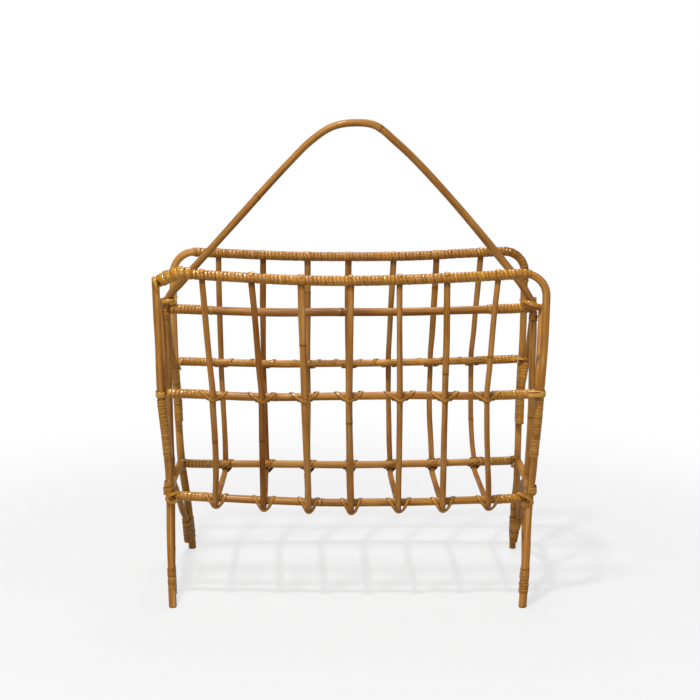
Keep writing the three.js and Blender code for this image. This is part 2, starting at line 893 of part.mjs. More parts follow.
function lashingRings(rail, level, face, corner) {
  const stations = [];
  for (let i = 0; i < ribCount; i += 1) {
    const centre = railPoint(rail, face, ribX(face, level, i));
    for (const { at, outward } of crossing(corner)) {
      const turned = new THREE.Vector3(at.x, face * at.y, at.z);
      stations.push({
        at: turned.add(centre),
        outward: new THREE.Vector3(outward.x, face * outward.y, outward.z),
      });
    }
  }
  return stations.map(({ at, outward }, i) => {
    const before = stations[Math.max(0, i - 1)].at;
    const after = stations[Math.min(stations.length - 1, i + 1)].at;
    const along = at.clone().sub(before).normalize().add(after.clone().sub(at).normalize()).normalize();
    const normal = outward.clone().addScaledVector(along, -outward.dot(along)).normalize();
    return stripRing(at, normal, along.clone().cross(normal), tieWidth, peelThickness);
  });
}

// On a mid rail the strip dips in front of the upright rib.
function midCorner(reach, share) {
  return {
    at: new THREE.Vector3(0, ribOffset + reach, -share * (railCane + ribCane / 2)),
    outward: new THREE.Vector3(0, 1, 0),
  };
}

// On a bottom rail it cradles the rib's bend.
function bottomCorner(reach, share) {
  const angle = -(share * Math.PI) / 4;
  const outward = new THREE.Vector3(0, Math.cos(angle), Math.sin(angle));
  return { at: outward.clone().multiplyScalar(ribOffset + reach), outward };
}

function ribLashings() {
  const rows = [
    ["front_mid_lashing", "mid", -1, midCorner],
    ["back_mid_lashing", "mid", 1, midCorner],
    ["front_bottom_lashing", "bottom", -1, bottomCorner],
    ["back_bottom_lashing", "bottom", 1, bottomCorner],
  ];
  for (const [name, level, face, corner] of rows) {
    addPiece(name, ringBody(lashingRings(rails[level], level, face, corner)), colours.tie);
  }
}

frontFrameHoop();
frontLeftUpright();
backFrameHoop();
handleHoop();
dividerRail();
longRails();
sideRails();
braces();
legArches();
ribs();
topWindings();
dividerWindings();
railEndWindings();
braceWindings();
footWindings();
midStraps();
jointStraps();
cornerLashing();
ribLashings();

export default group;
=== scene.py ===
# Rattan magazine basket: canes, windings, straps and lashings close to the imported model's centre lines,
# with the bends measured in the photo. Metres, Z up. X runs along the basket, and its front faces -Y.
import math
import random

import bpy
import numpy as np
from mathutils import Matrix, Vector


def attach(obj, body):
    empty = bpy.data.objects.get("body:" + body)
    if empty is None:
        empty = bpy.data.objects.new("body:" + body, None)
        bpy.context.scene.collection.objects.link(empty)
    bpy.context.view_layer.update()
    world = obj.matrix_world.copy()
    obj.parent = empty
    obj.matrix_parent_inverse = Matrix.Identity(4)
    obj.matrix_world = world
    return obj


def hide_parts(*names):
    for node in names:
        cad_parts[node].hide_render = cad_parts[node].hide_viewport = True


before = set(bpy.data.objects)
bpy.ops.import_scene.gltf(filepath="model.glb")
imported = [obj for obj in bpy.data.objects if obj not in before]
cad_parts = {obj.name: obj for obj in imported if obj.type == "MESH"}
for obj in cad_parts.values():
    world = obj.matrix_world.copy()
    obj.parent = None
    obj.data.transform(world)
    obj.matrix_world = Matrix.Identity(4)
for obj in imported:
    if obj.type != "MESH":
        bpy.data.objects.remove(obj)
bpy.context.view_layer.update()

# Sides and faces of the basket, by the way they lie from its middle
SIDES = {-1: "left", 1: "right"}
FACES = {-1: "front", 1: "back"}

# Levels of the frame, at cane centre lines
TOP_HEIGHT = 0.3777
MID_HEIGHT = 0.242
BOTTOM_HEIGHT = 0.119
HANDLE_HEIGHT = 0.5377
TOP_WIDTH = 0.430
MID_WIDTH = 0.424
BOTTOM_WIDTH = 0.410
FOOT_WIDTH = 0.399
TOP_DEPTH = 0.215
MID_DEPTH = 0.2174
BOTTOM_DEPTH = 0.183
FOOT_DEPTH = 0.2404

# Cane radii
FRAME_CANE = 0.0044
HANDLE_CANE = 0.0042
MID_CANE = 0.0045
BOTTOM_CANE = 0.0045
DIVIDER_CANE = 0.0050
BRACE_CANE = 0.0037
ARCH_CANE = 0.0039

# Bends, bows, ends and gaps
SIDE_BOW = 0.003
POLE_WIDTH = 0.426
JOINT_HEIGHT = 0.331
BRACE_KNEE_DROP = 0.012
BRACE_MEET_HEIGHT = 0.252
BRACE_HEIGHTS = [0.248, 0.241, 0.234, 0.225, 0.209, 0.185, 0.165]
BRACE_GAP = 0.00055
ARCH_END_HEIGHT = 0.011
ARCH_LEAVE_HEIGHT = 0.042
ARCH_SHOULDER = 0.032
LEFT_CROWN_SHIFT = 0.0018
CUT_TOP_HEIGHT = 0.374
TAIL_RUN = 0.024
TAIL_DROP = 0.008
SEAT_GAP = 0.0003
TOP_SPAN = 0.375
DIVIDER_HEIGHT = 0.3234

# Peel, and how far the top rails' windings hang
PEEL_PITCH = 0.0043
PEEL_THICKNESS = 0.0007
TIE_WIDTH = 0.0034
TOP_WINDING_DROP = 0.0003

# Rib places, as shares of an even space between ribs at the top, mid and bottom rails
RIB_SHARES = {
    -1: {
        "top": [-3.047, -2.031, -1.006, 0.01, 1.025, 2.012, 3.067],
        "mid": [-2.91, -1.85, -0.98, 0, 1.05, 2, 2.88],
        "bottom": [-2.989, -1.924, -0.941, 0.021, 1.055, 2.048, 3.04],
    },
    1: {
        "top": [-2.958, -1.962, -0.966, -0.02, 0.976, 1.952, 2.938],
        "mid": [-2.98, -1.98, -0.97, -0.02, 0.88, 1.85, 2.79],
        "bottom": [-2.978, -1.975, -0.982, -0.021, 0.951, 1.944, 2.989],
    },
}
# How far each rib strays sideways from straight lines between its rails, in millimetres, at these heights
RIB_HEIGHTS = [0.117, 0.139, 0.169, 0.199, 0.243, 0.274, 0.304, 0.334, 0.372]
RIB_STRAYS = {
    -1: [
        [0.8, 2.2, 3.2, 2.8, 1.8, 1.7, 1.1, 0.8, 0.3],
        [0.6, 0.6, 0.2, 0, 0, 0.3, 0.6, 0.8, 0.2],
        [0.9, 1.5, 1.6, 1.4, 1.3, 1.1, 0.6, 0.1, 0],
        [-0.2, -0.5, -0.6, -1.1, -1.1, -0.9, -0.5, -0.1, 0],
        [0.3, 0, 0.1, -0.1, -0.5, -0.6, -0.7, -0.7, -0.6],
        [-0.6, -0.6, -0.7, -0.8, -0.8, -0.8, -0.5, -0.8, -1.1],
        [0.4, 0.4, -0.5, -1.1, -0.8, -1.3, -1.8, -2.1, -1.4],
    ],
    1: [
        [-1.0, -0.6, -0.8, -1.0, -0.9, -1.1, -1.3, -1.3, -0.8],
        [-1.9, -2.1, -2.1, -2.0, -1.8, -1.7, -1.6, -1.0, -0.2],
        [-2.3, -2.0, -1.4, -1.2, -1.3, -1.0, -0.5, -0.1, 0.2],
        [0, 0, -0.3, -0.5, -1.0, -1.2, -1.3, -1.3, -0.9],
        [0.5, 0, 0, -0.1, 0.6, 0.3, 0.2, 0.4, 0.6],
        [1.0, 0.4, -0.8, -0.8, 0.8, 1.0, 0.9, 0.7, 0.2],
        [-0.5, -1.7, -2.0, -0.9, 1.1, 1.1, 0.9, 1.0, 0.8],
    ],
}
# Which of these heights is the mid rail's, and how far under the top rail's line the ribs end
MID_STATION = 4
RIB_TOP_DROP = FRAME_CANE - 0.0008
RIB_LEVELS = {"top": RIB_HEIGHTS[-1], "mid": RIB_HEIGHTS[MID_STATION], "bottom": RIB_HEIGHTS[0]}
RIB_CANES = [0.0033, 0.0034, 0.0037, 0.00385, 0.0032, 0.0034, 0.0032]
RIB_COUNT = len(RIB_CANES)
RIB_SPACES = RIB_COUNT + 1

# Outward drift of each hand-bent upright in millimetres, at these heights from the floor to the top
DRIFT_HEIGHTS = [0, 0.03, 0.06, 0.09, 0.117, 0.15, 0.165, 0.2, 0.244, 0.275, 0.3, 0.325, 0.352, 0.378]
DRIFTS = {
    "front_left": [0.9, 1.0, 1.1, 0.8, -0.4, -2.2, -2.4, -2.2, -1.0, -1.1, -1.1, -0.5, -0.2, -0.1],
    "front_right": [-4.6, -3.4, -2.5, -2.4, -1.5, -0.5, -0.6, -0.6, -0.3, 1.2, 2.3, 2.6, 2.5, 2.3],
    "back_left": [-1.9, -1.8, -1.1, 0.4, 2.0, 2.6, 2.7, 2.6, 2.5, 2.55, 2.5, 1.6, 0.2, -0.5],
    "back_right": [4.1, 2.8, 1.3, 1.9, 0.6, -0.4, -0.9, -1.7, -1.8, -1.5, -1.5, -2.0, -2.2, -2.3],
}
# Radius of each upright's bend into the top rail
BEND_RADII = {"front_left": 0.0275, "front_right": 0.0248, "back_left": 0.0260, "back_right": 0.0248}

# Where each brace starts beside the handle's pole: outward, away from the middle, and height
BRACE_STARTS = {
    "front_left": (0.0080, 0.001, 0.335),
    "front_right": (0.0092, 0.001, 0.328),
    "back_left": (0.0004, 0.0082, 0.335),
    "back_right": (0.0012, 0.0082, 0.335),
}
# How far each brace turns inward round its upright, as heights and degrees from the top down
BRACE_TURNS = {
    "front_left": [(0.256, 20), (0.2375, 0), (0.216, -3), (0.195, -3), (0.177, 0), (0.165, 6)],
    "front_right": [(0.27, 32), (0.254, 16), (0.2375, 2), (0.216, -8), (0.195, -8), (0.165, 3)],
    "back_left": [(0.262, -33), (0.254, -28), (0.244, -8), (0.233, 2), (0.195, 12), (0.165, 10)],
    "back_right": [(0.256, -53), (0.244, -38), (0.229, -20), (0.211, -4), (0.165, -4)],
}
# The same for each end of the leg arches
ARCH_TURNS = {
    "front_left": [(0.042, 1)],
    "front_right": [(0.042, 0)],
    "back_left": [(0.042, -25)],
    "back_right": [(0.042, -40), (0.03, -14), (0.015, 0)],
}
# How far each half of the arches stands out of a straight way up, in millimetres: a quarter of the way
# up, at five eighths and at the shoulder
ARCH_BULGES = {
    "front_left": (0, 0, 0),
    "front_right": (-0.4, -1.6, -1.4),
    "back_left": (1.3, 1.4, 3.0),
    "back_right": (-0.5, -0.8, -0.5),
}
# How thick each leg is towards the floor, as a share of its cane above, and at the foot itself
LEG_GIRTHS = {"front_left": 0.87, "front_right": 0.98, "back_left": 1.02, "back_right": 1.02}
FOOT_GIRTH = 0.98

# The handle's poles: how far they stand out, at these heights
POLE_HEIGHTS = [0.119, 0.15, 0.2, 0.24, 0.27, 0.29, 0.315, 0.331]
POLES = {
    -1: [0.2100, 0.2112, 0.2120, 0.2125, 0.2131, 0.2137, 0.2145, 0.2138],
    1: [0.2085, 0.2105, 0.2126, 0.2129, 0.2129, 0.2134, 0.2132, 0.2126],
}
# Handle centre line above the joints, as shares of the half width and of the rise
HANDLE_SHARES = [
    (-0.995, 0.014), (-0.97, 0.055), (-0.927, 0.1), (-0.862, 0.178), (-0.684, 0.38), (-0.45, 0.647),
    (-0.330, 0.779), (-0.212, 0.899), (-0.098, 0.977), (0.018, 1), (0.135, 0.985), (0.25, 0.892),
    (0.366, 0.779), (0.602, 0.512), (0.839, 0.219), (0.932, 0.1), (0.960, 0.055), (0.982, 0.018),
]
TAIL_SHARES = [(0.42, 0.09), (0.75, 0.42), (1, 1)]

# Each level's cane radius, depth, width, length over which it sags, and outward bow
LEVEL_FACTS = {
    "top": (FRAME_CANE, TOP_DEPTH, TOP_WIDTH, TOP_SPAN, 0.005),
    "mid": (MID_CANE, MID_DEPTH, MID_WIDTH, MID_WIDTH, 0.005),
    "bottom": (BOTTOM_CANE, BOTTOM_DEPTH, BOTTOM_WIDTH, BOTTOM_WIDTH, 0.008),
    "divider": (DIVIDER_CANE, 0, POLE_WIDTH, POLE_WIDTH, 0),
}
# Each rail's height at its left and right end and its sag, and its rises in millimetres along its length
RAIL_FACTS = {
    ("top", -1): (0.3792, 0.3786, 0.0069, [
        (-188, 0), (-124, 0.28), (-84, -0.18), (-28, -0.5), (28, -0.13), (82, 0.37), (138, 0.4), (188, 0),
    ]),
    ("top", 1): (0.3754, 0.3764, 0.0067, [
        (-188, 0), (-134, 0.33), (-79, 0), (-27, 0), (27, -0.15), (82, -0.44), (133, 0.33), (188, 0),
    ]),
    ("mid", -1): (0.2436, 0.2442, 0.0018, [
        (-210, 0.9), (-177, 0.87), (-121, -1.08), (-74, -1.37), (-28, -0.3), (24, 0.39), (78, 0.46),
        (128, -0.83), (177, -0.85), (210, 0),
    ]),
    ("mid", 1): (0.2391, 0.2439, 0.0043, [
        (-210, 1), (-192, 0.98), (-132, 0), (-79, -0.84), (-24, -0.36), (27, -0.62), (77, -0.31),
        (126, -0.33), (189, -0.42), (210, 0),
    ]),
    ("bottom", -1): (0.1229, 0.1209, 0.0054, [
        (-205, 0), (-176, 0.65), (-125, 0.74), (-73, 0.42), (-23, -0.31), (25, 0.15), (78, 0),
        (130, 0.22), (176, -0.41), (205, 0),
    ]),
    ("bottom", 1): (0.1159, 0.1195, 0.0051, [
        (-205, 0), (-184, -0.2), (-125, 0.48), (-76, 0.5), (-24, -0.25), (25, -0.52), (74, -0.25),
        (125, -0.12), (177, 0.1), (205, 0),
    ]),
    ("divider", 0): (0.3225, 0.3238, 0.0045, [
        (-210, 0), (-188, 0.3), (-132, -0.55), (-75, -0.8), (-25, 0), (29, -0.17), (77, -0.33), (121, 0),
        (210, 0),
    ]),
}


# Curves

def unit(v):
    return v / np.maximum(np.linalg.norm(v, axis=-1, keepdims=True), 1e-12)


def square_to(directions, rows):
    """The part of each row that stands square to its direction, as a unit vector."""
    return unit(rows - directions * np.einsum("ij,ij->i", rows, directions)[:, None])


def spline(points, per_span=12):
    """A centripetal Catmull-Rom curve through the points, as a dense row of points."""
    p = np.asarray(points, float)
    p = np.vstack([2 * p[0] - p[1], p, 2 * p[-1] - p[-2]])
    u = np.linspace(0, 1, per_span, endpoint=False)[:, None]
    rows = []
    for i in range(1, len(p) - 2):
        p0, p1, p2, p3 = p[i - 1:i + 3]
        t0, t1, t2 = (max(np.linalg.norm(b - a), 1e-9) ** 0.5 for a, b in ((p0, p1), (p1, p2), (p2, p3)))
        m1 = ((p1 - p0) / t0 - (p2 - p0) / (t0 + t1) + (p2 - p1) / t1) * t1
        m2 = ((p2 - p1) / t1 - (p3 - p1) / (t1 + t2) + (p3 - p2) / t2) * t1
        rows.append(
            (2 * u**3 - 3 * u**2 + 1) * p1 + (u**3 - 2 * u**2 + u) * m1
            + (3 * u**2 - 2 * u**3) * p2 + (u**3 - u**2) * m2
        )
    rows.append(p[-2:-1])
    return np.vstack(rows)


class Route:
    """A line through space, measured along its length."""

    def __init__(self, points):
        self.points = np.asarray(points, float)
        self.reach = np.concatenate([[0], np.cumsum(np.linalg.norm(np.diff(self.points, axis=0), axis=1))])
        self.length = float(self.reach[-1])

    def at(self, s, rows=None):
        """The places at the distances s, or what rows of vectors given for the points say there."""
        rows = self.points if rows is None else rows
        return np.stack([np.interp(s, self.reach, rows[:, k]) for k in range(3)], -1)

    def direction(self, s, span=0.0012):
        low = np.clip(s - span, 0, self.length)
        high = np.clip(s + span, 0, self.length)
        return unit(self.at(high) - self.at(low))


def transport(directions):
    """Sideways directions that turn as little as they can along a row of directions."""
    first = directions[0]
    start = np.array([0.0, 1.0, 0.0]) if abs(first[1]) < 0.9 else np.array([1.0, 0.0, 0.0])
    normal = unit(start - first * start.dot(first))
    rows = []
    for d in directions:
        normal = unit(normal - d * normal.dot(d))
        rows.append(normal)
    return np.array(rows)


def wobble(rng, x, length, waves=4):
    """A smooth random wave of about -1 to 1 along x, whose shortest wave is about length."""
    total = np.zeros_like(np.asarray(x, float))
    for _ in range(waves):
        total += np.sin(x * (2 * math.pi / (length * rng.uniform(1, 3))) + rng.uniform(0, 2 * math.pi))
    return total / waves**0.5


def ramp(value, low, high):
    """0 up to low, 1 from high on, and a straight way between."""
    return np.interp(value, [low, high], [0, 1])


def bell(distance, width):
    return np.exp(-((distance / width) ** 2))


# Meshes

def surface_values(first, second, s, offset, ring, edge, tint):
    """What a material reads at each point: its place on the straightened piece, its ring darkening (node
    rings, and painted shade at the ends), its painted edge shade, and its tint.
    """
    along = np.broadcast_to(s[:, None] + offset, first.shape)
    values = {"straight": np.stack([first, second, along], -1).reshape(-1, 3)}
    for key, value in (("ring", ring), ("edge", edge), ("tint", tint)):
        values[key] = np.broadcast_to(value, first.shape).ravel()
    return values


def add_mesh(name, verts, faces, flat_faces, values, slot, replaces=()):
    """One closed mesh that rides with the basket. Its last few faces are flat."""
    a, b, c = (verts[[face[k] for face in faces]] for k in range(3))
    if np.einsum("ij,ij->i", a - verts.mean(0), np.cross(b - a, c - a)).sum() < 0:
        faces = [face[::-1] for face in faces]
    mesh = bpy.data.meshes.new(name)
    mesh.from_pydata(verts.tolist(), [], faces)
    smooth = np.ones(len(faces), bool)
    smooth[len(faces) - flat_faces:] = False
    mesh.polygons.foreach_set("use_smooth", smooth)
    for key, value in values.items():
        kind = "FLOAT_VECTOR" if value.ndim == 2 else "FLOAT"
        attribute = mesh.attributes.new(key, kind, "POINT")
        attribute.data.foreach_set("vector" if value.ndim == 2 else "value", value.astype(np.float32).ravel())
    mesh.materials.append(MATERIALS[slot])
    mesh.update()
    piece = bpy.data.objects.new(name, mesh)
    bpy.context.scene.collection.objects.link(piece)
    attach(piece, "root")
    if replaces:
        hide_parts(*replaces)


def sweep(centres, normals, across, rise, side, closed=False):
    """Points and faces of a body whose rings stand rise along normals and side along across."""
    rings, points = rise.shape
    verts = centres[:, None] + rise[..., None] * normals[:, None] + side[..., None] * across[:, None]
    faces = []
    for i in range(rings if closed else rings - 1):
        here = i * points
        there = (i + 1) % rings * points
        for k in range(points):
            after = (k + 1) % points
            faces.append((here + k, here + after, there + after, there + k))
    if closed:
        return verts.reshape(-1, 3), faces, 0
    faces.append(tuple(range(points - 1, -1, -1)))
    faces.append(tuple((rings - 1) * points + k for k in range(points)))
    return verts.reshape(-1, 3), faces, 2


CANE_SIDES = 20
CANE_STEP = 0.0026
# Stations round a node, and the shares of its girth that a cane gains at a node, loses in the groove
# just past it, and loses from one side of it to the other
NODE_STEPS = [0, 0.0004, 0.0008, 0.0012, 0.0018, 0.0026, 0.0038, 0.0055]
NODE_SWELL = 0.065
NODE_GROOVE = 0.07
NODE_TAPER = 0.012
GROOVE_PLACE = 0.0008
BEVEL_STEPS = [0, 0.0005, 0.0012]
BEVEL_SHARES = [0.86, 0.96, 1]
# How far from a cane's ends its painted shade reaches
END_SHADING_REACH = 0.0075


def random_nodes(rng, length):
    nodes = []
    s = rng.uniform(0.03, 0.2)
    while s < length:
        nodes.append(s)
        s += rng.uniform(0.15, 0.27)
    return nodes


def cane(name, line, radius, slot, replaces, tint=0.5, nodes=None, feet=0, oval=0.02, end_shading=0, girths=None):
    """A natural cane: nodes with a raised ring, uneven girth, and bevelled ends that may be darkened with
    painted shade.

    The first of its ends, or both, may stand flat on the floor. tint may be a function of the places.
    """
    rng = random.Random(f"{name}0")
    route = Route(line)
    if nodes is None:
        nodes = random_nodes(rng, route.length)
    stations = [*BEVEL_STEPS, *(route.length - step for step in BEVEL_STEPS)]
    stations += list(np.linspace(0, route.length, max(4, int(route.length / CANE_STEP))))
    for node in nodes:
        stations += [node + way * step for step in NODE_STEPS for way in (-1, 1)]
    s = np.unique(np.round([x for x in stations if 0 <= x <= route.length], 5))
    end = np.minimum(s, route.length - s)
    centres = route.at(s)
    directions = route.direction(s)
    normals = transport(directions)
    across = np.cross(directions, normals)
    girth = 1 + 0.012 * wobble(rng, s, 0.05)
    if girths is not None:
        girth = girth * girths(centres)
    # Darker ends are painted shade, where ends go in under windings or into shaded corners.
    ring = end_shading * np.exp(-((end / END_SHADING_REACH) ** 4))
    for node in nodes:
        d = s - node
        girth = girth + NODE_SWELL * bell(d, 0.0024) - NODE_GROOVE * bell(d - GROOVE_PLACE, 0.00045)
        girth = girth - NODE_TAPER * np.tanh(d / 0.002)
        ring += bell(d - GROOVE_PLACE, 0.0007) + 0.3 * bell(d, 0.003)
        centres = centres + normals * (rng.uniform(-0.0004, 0.0004) * bell(d, 0.012))[:, None]
    angle = np.linspace(0, 2 * math.pi, CANE_SIDES, endpoint=False)[None, :]
    size = radius * (girth * np.interp(end, BEVEL_STEPS, BEVEL_SHARES))[:, None]
    size = size * (1 + oval * np.cos(2 * angle + 3 * wobble(rng, s, 0.2)[:, None]))
    rise = size * np.cos(angle)
    side = size * np.sin(angle)
    verts, faces, caps = sweep(centres, normals, across, rise, side)
    for which in (0, -1)[:feet]:
        ring_verts = verts.reshape(len(s), CANE_SIDES, 3)[which]
        down = directions[which]
        ring_verts -= down * (ring_verts[:, 2] / down[2])[:, None]
    shade = tint(centres)[:, None] if callable(tint) else tint
    values = surface_values(rise, side, s, rng.uniform(0, 5), np.clip(ring, 0, 1)[:, None], 0, shade)
    add_mesh(name, verts, faces, caps, values, slot, replaces)


# Section of a strip of peel: shares of its half width and of its thickness
STRIP_SHARES = np.array([
    (-1, 0), (-1, 0.45), (-0.84, 0.78), (-0.45, 0.96), (0, 1), (0.45, 0.96), (0.84, 0.78), (1, 0.45), (1, 0),
])


def strip(name, centres, outward, width, thickness, slot, replaces=(), tint=0.5, closed=False, tilt=None,
          outline=1):
    """A flat strip of peel along a dense row of points, lying on them and facing outward."""
    if closed:
        directions = unit(np.roll(centres, -1, 0) - np.roll(centres, 1, 0))
    else:
        directions = unit(np.gradient(centres, axis=0))
    normals = square_to(directions, outward)
    across = np.cross(directions, normals)
    s = Route(centres).reach
    side = (np.broadcast_to(width, s.shape) / 2)[:, None] * STRIP_SHARES[:, 0]
    rise = np.broadcast_to(thickness, s.shape)[:, None] * STRIP_SHARES[:, 1]
    if tilt is not None:
        rise = rise + side * tilt[:, None]
    verts, faces, caps = sweep(centres, normals, across, rise, side, closed)
    # Painted shade towards the strip's edges, standing in for the grooves between turns and the shade beside
    # the strip.
    edge = np.abs(STRIP_SHARES[:, 0]) * np.broadcast_to(outline, s.shape)[:, None]
    values = surface_values(side, rise, s, random.Random(f"{name}0").uniform(0, 5), 0, edge, tint)
    add_mesh(name, verts, faces, caps, values, slot, replaces)


def from_base(base, rows):
    """A strip's knots: each row is a place in millimetres from the base, and the way the strip faces."""
    return [(base + np.array(row[:3]) / 1000, row[3:]) for row in rows]


def tie(name, knots, slot, width=TIE_WIDTH, thickness=PEEL_THICKNESS, per_span=8, closed=False, **options):
    """A strip through a few chosen places, each a point and the way the strip faces there."""
    points = np.array([k[0] for k in knots], float)
    facing = np.array([k[1] for k in knots], float)
    if closed:
        points = np.vstack([points[-2:], points, points[:2]])
        facing = np.vstack([facing[-2:], facing, facing[:2]])
    dense = spline(points, per_span)
    index = np.arange(len(dense)) / per_span
    turned = np.stack([np.interp(index, np.arange(len(facing)), unit(facing)[:, k]) for k in range(3)], -1)
    if closed:
        kept = slice(2 * per_span, (2 + len(knots)) * per_span)
        dense, turned = dense[kept], turned[kept]
    elif isinstance(width, list):
        width = np.interp(index, np.arange(len(width)), width)
    strip(name, dense, turned, width, thickness, slot, closed=closed, **options)


def wrap(centre, apart, aside, t, radius, spread):
    """Places and facings at distance t round two circles that lie a spread each side of the centre."""
    bend = math.pi * radius
    flat = 2 * spread
    q = np.mod(t, 2 * (bend + flat))
    second = q >= bend + flat
    q = np.where(second, q - bend - flat, q)
    angle = np.minimum(q, bend) / radius - math.pi / 2
    sign = np.where(second, -1, 1)[:, None]
    outward = (np.cos(angle)[:, None] * apart + np.sin(angle)[:, None] * aside) * sign
    x = (spread - np.maximum(q - bend, 0))[:, None]
    return centre + x * apart * sign + np.reshape(radius, (-1, 1)) * outward, outward


TURN_STEPS = 22
STRIP_LIFT = 0.0001
# How far a winding's ends are tucked in, and over how much of a turn
TUCK_DEPTH = 0.0006
TUCK_TURNS = 0.4


def winding(name, line, core, sideways=(0, 1, 0), replaces=(), spread=0, pitch=PEEL_PITCH, way=1, uneven=1,
            tint=0.5, thickness=PEEL_THICKNESS, cover=0.99, start=0, swell=None):
    """One strip wound closely along a line, round a cane or round two canes a spread each side.

    sideways is the way from cane to cane, or for one cane the way that its turns are counted from.
    """
    rng = random.Random(name)
    route = Route(line)
    length = route.length
    turns = length / pitch
    u = np.linspace(0, turns, int(turns * TURN_STEPS) + 1)
    s = (u * pitch + uneven * 0.04 * pitch * wobble(rng, u, 1.3)) * way
    s = np.clip(s + (0 if way > 0 else length), 0, length)
    along = route.direction(s)
    apart = square_to(along, route.at(s, np.broadcast_to(sideways, route.points.shape)))
    radius = core + STRIP_LIFT + uneven * 0.00006 * wobble(rng, u, 1.1)
    if swell is not None:
        radius = radius + swell(s / length)
    ends = np.minimum(u, turns - u)
    radius = radius - TUCK_DEPTH * np.clip(1 - ends / TUCK_TURNS, 0, 1) ** 2
    t = (u + start) * (2 * math.pi * radius + 4 * spread)
    centres, outward = wrap(route.at(s), apart, np.cross(along, apart), t, radius, spread)
    width = pitch * cover * (1 + 0.03 * uneven * wobble(rng, u, 2.0))
    width = width * np.interp(ends, [0, 0.25], [0.6, 1])
    tilt = 0.04 * uneven * wobble(rng, u, 1.7)
    # How strongly each turn's edges are darkened with painted shade, varying from turn to turn.
    outline = 0.84 + 0.12 * np.clip(wobble(rng, u, 0.7), -1, 1)
    strip(name, centres, outward, width, thickness, "peel", replaces, tint=tint, tilt=tilt, outline=outline)


# Materials

class Tree:
    """The nodes of a material or of the world."""

    def __init__(self, owner):
        owner.use_nodes = True
        self.nodes = owner.node_tree.nodes
        self.links = owner.node_tree.links
        self.nodes.clear()

    def add(self, kind, feeds, output=0, **settings):
        """A new node, its inputs linked or set to constants. What comes back is one of its outputs."""
        node = self.nodes.new(kind)
        for key, value in settings.items():
            setattr(node, key, value)
        for socket, value in feeds.items():
            if isinstance(value, bpy.types.NodeSocket):
                self.links.new(value, node.inputs[socket])
            else:
                node.inputs[socket].default_value = value
        return node.outputs[output] if len(node.outputs) else None

    def calculate(self, operation, *values):
        return self.add("ShaderNodeMath", dict(enumerate(values)), operation=operation)

    def span(self, value, low, high, to_low=0, to_high=1, easing="SMOOTHSTEP"):
        feeds = {"Value": value, "From Min": low, "From Max": high, "To Min": to_low, "To Max": to_high}
        return self.add("ShaderNodeMapRange", feeds, interpolation_type=easing)


def linear(r, g, b):
    """A colour given as 0 to 255 screen values, as the renderer holds it."""
    def one(value):
        v = value / 255
        return v / 12.92 if v <= 0.04045 else ((v + 0.055) / 1.055) ** 2.4
    return (one(r), one(g), one(b), 1)


def rattan(name, dark, middle, light, roughness, coat, shine, streak):
    """Cane or peel: fibres, streaks and specks along it, dark node rings, painted shade at its ends and at
    strip edges, and a thin gloss.
    """
    material = bpy.data.materials.new(name)
    tree = Tree(material)

    def attribute(key, output="Fac"):
        return tree.add("ShaderNodeAttribute", {}, output, attribute_name=key)

    straight = attribute("straight", "Vector")

    def noise(scale, detail, rough=0.5):
        place = tree.add("ShaderNodeVectorMath", {0: straight, 1: scale}, operation="MULTIPLY")
        feeds = {"Vector": place, "Scale": 1, "Detail": detail, "Roughness": rough}
        return tree.add("ShaderNodeTexNoise", feeds)

    # Scales across, across and along the piece, in waves a metre
    fibres = noise((1500, 1500, 45), 3, 0.6)
    streaks = noise((420, 420, 7), 2)
    patches = noise((110, 110, 22), 2)
    specks = noise((900, 900, 420), 2, 0.7)

    # Fibres and streaks add nothing on average, so a streakier slot is no lighter
    fibre_share = 0.42 * streak
    streak_share = 0.5 * streak
    factor = -(fibre_share + streak_share) / 2
    shares = ((fibres, fibre_share), (streaks, streak_share), (patches, 0.5), (attribute("tint"), 0.5))
    for source, share in shares:
        factor = tree.calculate("MULTIPLY_ADD", source, share, factor)
    colour = tree.add("ShaderNodeValToRGB", {0: factor})
    stops = colour.node.color_ramp.elements
    stops.new(0.5)
    for i, (position, shade) in enumerate(((0.25, dark), (0.5, middle), (0.76, light))):
        stops[i].position = position
        stops[i].color = linear(*shade)

    # Painted shade at strip edges, for the grooves between turns and beside crossing strips; node rings, the
    # cane's own, with painted shade at ends that go under windings or into corners; and real specks.
    shading_and_marks = (
        (tree.span(attribute("edge"), 0.7, 1), (0.34, 0.22, 0.12, 1)),
        (tree.span(attribute("ring"), 0.1, 0.9, 0, 0.8), (0.4, 0.3, 0.22, 1)),
        (tree.span(specks, 0.63, 0.75, 0, 0.5), (0.42, 0.3, 0.2, 1)),
    )
    for amount, darker in shading_and_marks:
        feeds = {"Factor": amount, 6: colour, 7: darker}
        colour = tree.add("ShaderNodeMix", feeds, 2, data_type="RGBA", blend_type="MULTIPLY")

    height = tree.calculate("MULTIPLY_ADD", fibres, 0.7, tree.calculate("MULTIPLY", specks, 0.3))
    shader = tree.add("ShaderNodeBsdfPrincipled", {
        "Base Color": colour,
        "Roughness": tree.span(fibres, 0.3, 0.7, roughness - 0.07, roughness + 0.08),
        "Normal": tree.add("ShaderNodeBump", {"Strength": 0.35, "Distance": 0.00016, "Height": height}),
        "Specular IOR Level": 0.16,
        "Specular Tint": (1, 0.68, 0.38, 1),
        "Coat Weight": coat,
        "Coat Roughness": shine,
    })
    tree.add("ShaderNodeOutputMaterial", {"Surface": shader})
    return material


